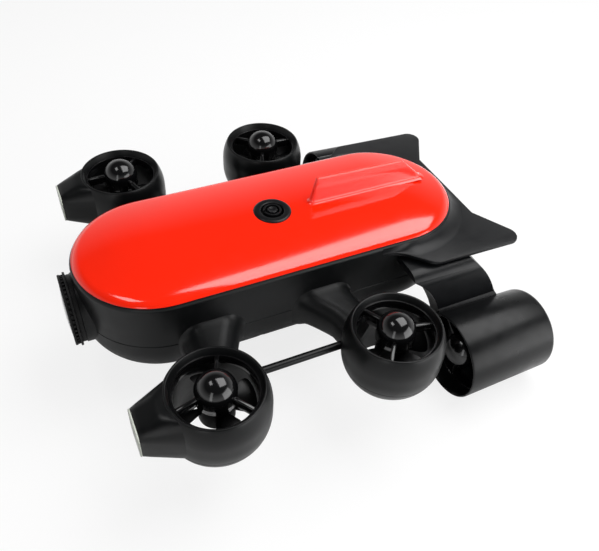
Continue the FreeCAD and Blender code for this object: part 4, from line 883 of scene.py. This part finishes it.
# Each line of the snout runs on until it is sunk in the pod's wall, found by halving.
pod_end = []
for face_point, root_point in zip(face_ring, root_ring):
    near, far = 0.0, 1.0
    for halving in range(24):
        share = (near + far) / 2
        x, y, z = Vector(face_point).lerp(Vector(root_point), share)
        z = min(z, snout_top)
        inside = hypot(x - POD_X, y - first_row) < ball(POD_Z - z) - 1.6
        near, far = (near, share) if inside else (share, far)
    pod_end.append(near)
lamp_stations = [lamp_ring(face_y + 7.0, 24.4, 5.2), lamp_ring(face_y + 0.3, 24.4, 5.2),
                 lamp_ring(face_y, 25.0, 5.5), lamp_ring(face_y, 27.4, 6.7),
                 lamp_ring(face_y + 0.3, FACE, FACE_CORNER)]
for share in (0.15, 0.3, 0.45, 0.6, 0.75, 0.9, 1.0):
    ring = []
    for face_point, root_point, end in zip(face_ring, root_ring, pod_end):
        x, y, z = Vector(face_point).lerp(Vector(root_point), end * share)
        ring.append((x, max(y, face_y + 0.6), min(z, snout_top)))
    lamp_stations.append(ring)
lamp = lofted("lamp_master", lamp_stations, angle=40)

# Frosted polycarbonate: milky, it passes light and hides the emitters.
frosted = moulded_plastic("frosted_polycarbonate", "#E6EADF", 0.38, 0.4, 0.006)
frosted.node_tree.nodes["Principled BSDF"].inputs["Transmission Weight"].default_value = 0.25
lens = lofted("lens_master", [lamp_ring(LAMP_Y + y, size, corner) for y, size, corner in (
    (LENS - 0.05, 27.2, 6.6), (LENS - 0.3, 27.8, 6.9), (0.5, 27.8, 6.9), (0.12, 27.2, 6.6),
    (0.0, 26.2, 6.1))])
for side, way in SIDES:
    dress(to_side(lamp, f"{side}_lamp_snout", way), pod_abs,
          node=f"{side}_lamp_housing")
    dress(to_side(lens, f"{side}_lamp_window", way), frosted,
          node=f"{side}_lamp_lens")
bpy.data.objects.remove(lamp)
bpy.data.objects.remove(lens)

# ---------------------------------------------------------------------------------------------
# The tail: a flat swept plate of grey-black ABS that wraps the stern. Its skirt curves up to the
# hull's rim, so that the cover seems to float over it.

# Grey-black ABS with the hull's grain: flat panels that turn grey where they face the light.
tail_abs = moulded_plastic("tail_grey_black_abs", "#0D0E10", 0.36, 0.6, 0.010)
TAIL_SLOPE = tan(radians(1.5))
TAIL_CORNER = NOSE + 272.6
TAIL_HALF = 90.0
TAIL_THICK = 3.4
ROOT_ROUND = 30.0
NOTCH_X = 43.9
NOTCH_Y = NOSE + 341.4
TIP_Y = NOSE + 369.4
TIP_ROUND = 10
TAIL_ROOT = TAIL_CORNER + HULL_HALF - TAIL_HALF - ROOT_ROUND * tan(pi / 8)


def tail_top(y):
    """The height of the plate's upper face at a place along the vehicle."""
    return SEAM - 7.4 - TAIL_SLOPE * (y - TAIL_CORNER)


def rounded_corner(before, corner, after, radius, steps=8):
    """The points of a corner of a plan, rounded."""
    corner = Vector(corner)
    first = (Vector(before) - corner).normalized()
    last = (Vector(after) - corner).normalized()
    half = acos(max(-1, min(1, first.dot(last)))) / 2
    centre = corner + (first + last).normalized() * radius / sin(half)
    start = corner + first * radius / tan(half) - centre
    end = corner + last * radius / tan(half) - centre
    points = []
    for i in range(steps + 1):
        point = start.lerp(end, i / steps).normalized() * radius + centre
        points.append((point.x, point.y))
    return points


half_plan = [
    *arc((HULL_HALF + ROOT_ROUND, TAIL_ROOT), ROOT_ROUND, 180, 135, 9),
    *rounded_corner((HULL_HALF, TAIL_CORNER + HULL_HALF - TAIL_HALF), (TAIL_HALF, TAIL_CORNER),
                    (TAIL_HALF, TIP_Y), 14),
    *rounded_corner((TAIL_HALF, TAIL_CORNER), (TAIL_HALF, TIP_Y), (NOTCH_X, NOTCH_Y), TIP_ROUND),
    (NOTCH_X, NOTCH_Y),
]
plan = half_plan + [(-x, y) for x, y in reversed(half_plan)]
plate = slab("tail_plate", [(x, y, tail_top(y) - TAIL_THICK) for x, y in plan],
             (0, 0, TAIL_THICK), 0.8)

SKIRT_WIDTH = 15.0
SKIRT_STEPS = 12
SKIRT_HOLLOW = 1.18
SIDE_STATIONS = 15
STERN_STATIONS = 48


def plate_reach(y):
    """How far the plate stands out from the hull's side at a place along the vehicle."""
    along = y - TAIL_ROOT
    if along < ROOT_ROUND * sin(pi / 4):
        return ROOT_ROUND - sqrt(ROOT_ROUND ** 2 - max(along, 0) ** 2)
    return TAIL_HALF - HULL_HALF + (y - TAIL_CORNER)


def skirt_station(middle, direction):
    """A ring of the skirt: a hollow curve from plate to rim, and its root in the hull."""
    reach = SKIRT_WIDTH
    if middle.y < STERN_CENTRE - 0.01:
        reach = max(min(SKIRT_WIDTH, plate_reach(middle.y)), 0.4)
    elif direction.y > 0.5:
        reach = min(SKIRT_WIDTH, (NOTCH_Y - 0.4 - STERN_CENTRE) / direction.y - HULL_HALF)
    ring = []
    for step in range(SKIRT_STEPS + 1):
        inward = step / SKIRT_STEPS
        place = middle + direction * (HULL_HALF + 0.1 + reach * (1 - inward))
        foot = tail_top(place.y)
        rise = SKIRT_HOLLOW - sqrt(SKIRT_HOLLOW ** 2 - inward ** 2)
        rise /= SKIRT_HOLLOW - sqrt(SKIRT_HOLLOW ** 2 - 1)
        ring.append((place.x, place.y, foot - 0.15 + (SEAM - 1.2 - foot) * rise))
    inside = middle + direction * (HULL_HALF - 1.2)
    outside = middle + direction * (HULL_HALF + 0.1 + reach)
    return ring + [(inside.x, inside.y, SEAM - 1.3), (inside.x, inside.y, tail_top(inside.y) - 1.0),
                   (outside.x, outside.y, tail_top(outside.y) - 1.0)]


stations = []
side_run = STERN_CENTRE - TAIL_ROOT
for step in range(SIDE_STATIONS):
    middle = Vector((0, TAIL_ROOT + side_run * step / SIDE_STATIONS, 0))
    stations.append(skirt_station(middle, Vector((1, 0, 0))))
for step in range(STERN_STATIONS + 1):
    around = pi * step / STERN_STATIONS
    middle = Vector((0, STERN_CENTRE, 0))
    stations.append(skirt_station(middle, Vector((cos(around), sin(around), 0))))
for step in range(SIDE_STATIONS):
    middle = Vector((0, STERN_CENTRE - side_run * (step + 1) / SIDE_STATIONS, 0))
    stations.append(skirt_station(middle, Vector((-1, 0, 0))))
skirt = lofted("tail_skirt", stations, angle=30)
tail = join([plate, skirt])
dress(tail, tail_abs, node="tail_fin")

# ---------------------------------------------------------------------------------------------
# The rear drives: long ducts turned in ABS, lying along the vehicle, each held off the stern by a
# curved bracket under the tail plate. Their stators and propellers match the pods'.

DRIVE_X = 129.0
DRIVE_Z = SEAM - 83.5
DRIVE_Y = NOSE + 274.9
DUCT_BORE = 33.4
# Duct ABS: the long turned wall draws its highlight out into a soft band.
duct_abs = moulded_plastic("duct_satin_black_abs", "#0A0B0C", 0.32, 0.55, 0.008)
duct_section = closed([(r, DRIVE_Y + y) for r, y in (
    (32.6, 86.3), (DUCT_BORE, 78.0), (DUCT_BORE, 26.0), (34.6, 26.0), (34.6, 7.2), (36.2, 0.5),
    (36.6, 0.05), (37.0, 0.0), (37.5, 0.35), (37.85, 1.4), (36.0, 83.0), (35.8, 84.2),
    (35.35, 85.4), (34.7, 86.3), (34.0, 86.8), (33.0, 86.8))])
duct = turned("drive_duct_master", duct_section, (DRIVE_X, 0, DRIVE_Z), axis="Y", steps=112)
stator, rotor = thruster(
    "drive", (DRIVE_X, DRIVE_Y, DRIVE_Z), (15.5, -12.0, 10.0, -26.0),
    (30, 2.8, 10.0, -14.0, -14.5), (DUCT_BORE, 34.55, -14.0, -26.0),
    (14.2, -28.2, -51.0, 32.4, 14.0, 28.0), lengthwise=True)
for side, way in SIDES:
    dress(to_side(duct, f"{side}_drive_shroud", way), duct_abs,
          node=f"{side}_drive_duct")
    dress(to_side(stator, f"{side}_drive_hub", way), gloss_black,
          node=f"{side}_drive_stator")
    dress(to_side(rotor, f"{side}_drive_screw", way), propeller_nylon,
          body=f"{side}_drive_propeller", node=f"{side}_drive_propeller")
for master in (duct, stator, rotor):
    bpy.data.objects.remove(master)


# The bracket's end view is drawn first and run along the vehicle. Its front and rear edges are
# then cut to their curves, and it is trimmed to the duct and to the hull.
ARCH_ROOT = SEAM - 44.0
BRACKET_TOP = SEAM - 14.0
BRACKET_FRONT = NOSE + 252.0
BRACKET_REAR = NOSE + 308.5
BRACKET_WIDTH = 109
BRACKET_ROUND = 2.4
TOE = BRACKET_FRONT + 27
HEEL = BRACKET_REAR + 28
behind = DRIVE_Y + 92.0
profile = [
    (30, ARCH_ROOT), *edge_between((COVER_HALF, ARCH_ROOT), (92, DRIVE_Z), -37, 14),
    (DRIVE_X, DRIVE_Z), (101, SEAM - 54.6),
    *edge_between((96, BRACKET_TOP - 12), (84, BRACKET_TOP), 12, 9), (30, BRACKET_TOP)]
bracket = slab("drive_bracket_master", [(x, BRACKET_FRONT, z) for x, z in profile],
               (0, BRACKET_WIDTH, 0), 0)
front_cut = [(BRACKET_FRONT - 5, DRIVE_Z - 5), (BRACKET_FRONT - 5, BRACKET_TOP - 6),
             *edge_between((BRACKET_FRONT, BRACKET_TOP - 6), (TOE, DRIVE_Z), -60, 14),
             (TOE, DRIVE_Z - 5)]
rear_cut = [(BRACKET_REAR, BRACKET_TOP + 5),
            *edge_between((BRACKET_REAR, BRACKET_TOP), (HEEL, BRACKET_TOP - 38), -95, 14),
            (BRACKET_REAR + 49, DRIVE_Z - 5), (behind, DRIVE_Z - 5), (behind, BRACKET_TOP + 5)]
for cut in (front_cut, rear_cut):
    cut_by(bracket, slab("cutter", [(20, y, z) for y, z in cut], (130, 0, 0), 0))
round_edges(bracket, BRACKET_ROUND, 4)
bored(bracket, (DRIVE_X, DRIVE_Y - 10, DRIVE_Z), 35.4, 120, "Y")
cut_by(bracket, boat_form("cutter", closed([
    (0, BELLY), (HULL_HALF - 1, BELLY), (HULL_HALF - 1, SEAM - 2), (0, SEAM - 2)])))
smooth(bracket, 30)
for side, way in SIDES:
    dress(to_side(bracket, f"{side}_drive_bracket", way), tail_abs,
          node=f"{side}_pylon")
bpy.data.objects.remove(bracket)

# ---------------------------------------------------------------------------------------------
# What the shells hold: a wrapped battery, the control board over it, the lamps' boards, the
# motors' cores, the gasket and the screws. Little of it shows from outside.

# Shrink wrap: blue vinyl, creased where it shrank. Laminate: green, with the glass weave faint
# under the varnish. Steel: lacquered on the cores, bare and brighter on the screws. Silicone
# rubber: dull, with a soft edge to every highlight.
wrap = moulded_plastic("battery_blue_shrink_wrap", "#1F3D78", 0.35, 2.2, 0.03)
laminate = moulded_plastic("green_glass_laminate", "#1B5E38", 0.42, 0.35, 0.006)
steel = moulded_plastic("lacquered_steel_core", "#8B8D90", 0.35, 0.5, 0.01, shine=0.5)
rubber = moulded_plastic("black_silicone_rubber", "#141414", 0.7, 0.7, 0.02)
screw_steel = moulded_plastic("stainless_screw_steel", "#B9BBBE", 0.28, 0.3, 0.005, shine=0.5)
for metal in (steel, screw_steel):
    metal.node_tree.nodes["Principled BSDF"].inputs["Metallic"].default_value = 1.0
inner = {"battery_pack": wrap, "control_board": laminate, "cover_seal": rubber,
         "hull_screws": screw_steel}
for side in ("left", "right"):
    inner[side + "_lamp_board"] = laminate
    for place in ("front_pod", "rear_pod", "drive"):
        inner[f"{side}_{place}_motor"] = steel
for node, finish in inner.items():
    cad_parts[node].data.materials.clear()
    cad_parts[node].data.materials.append(finish)
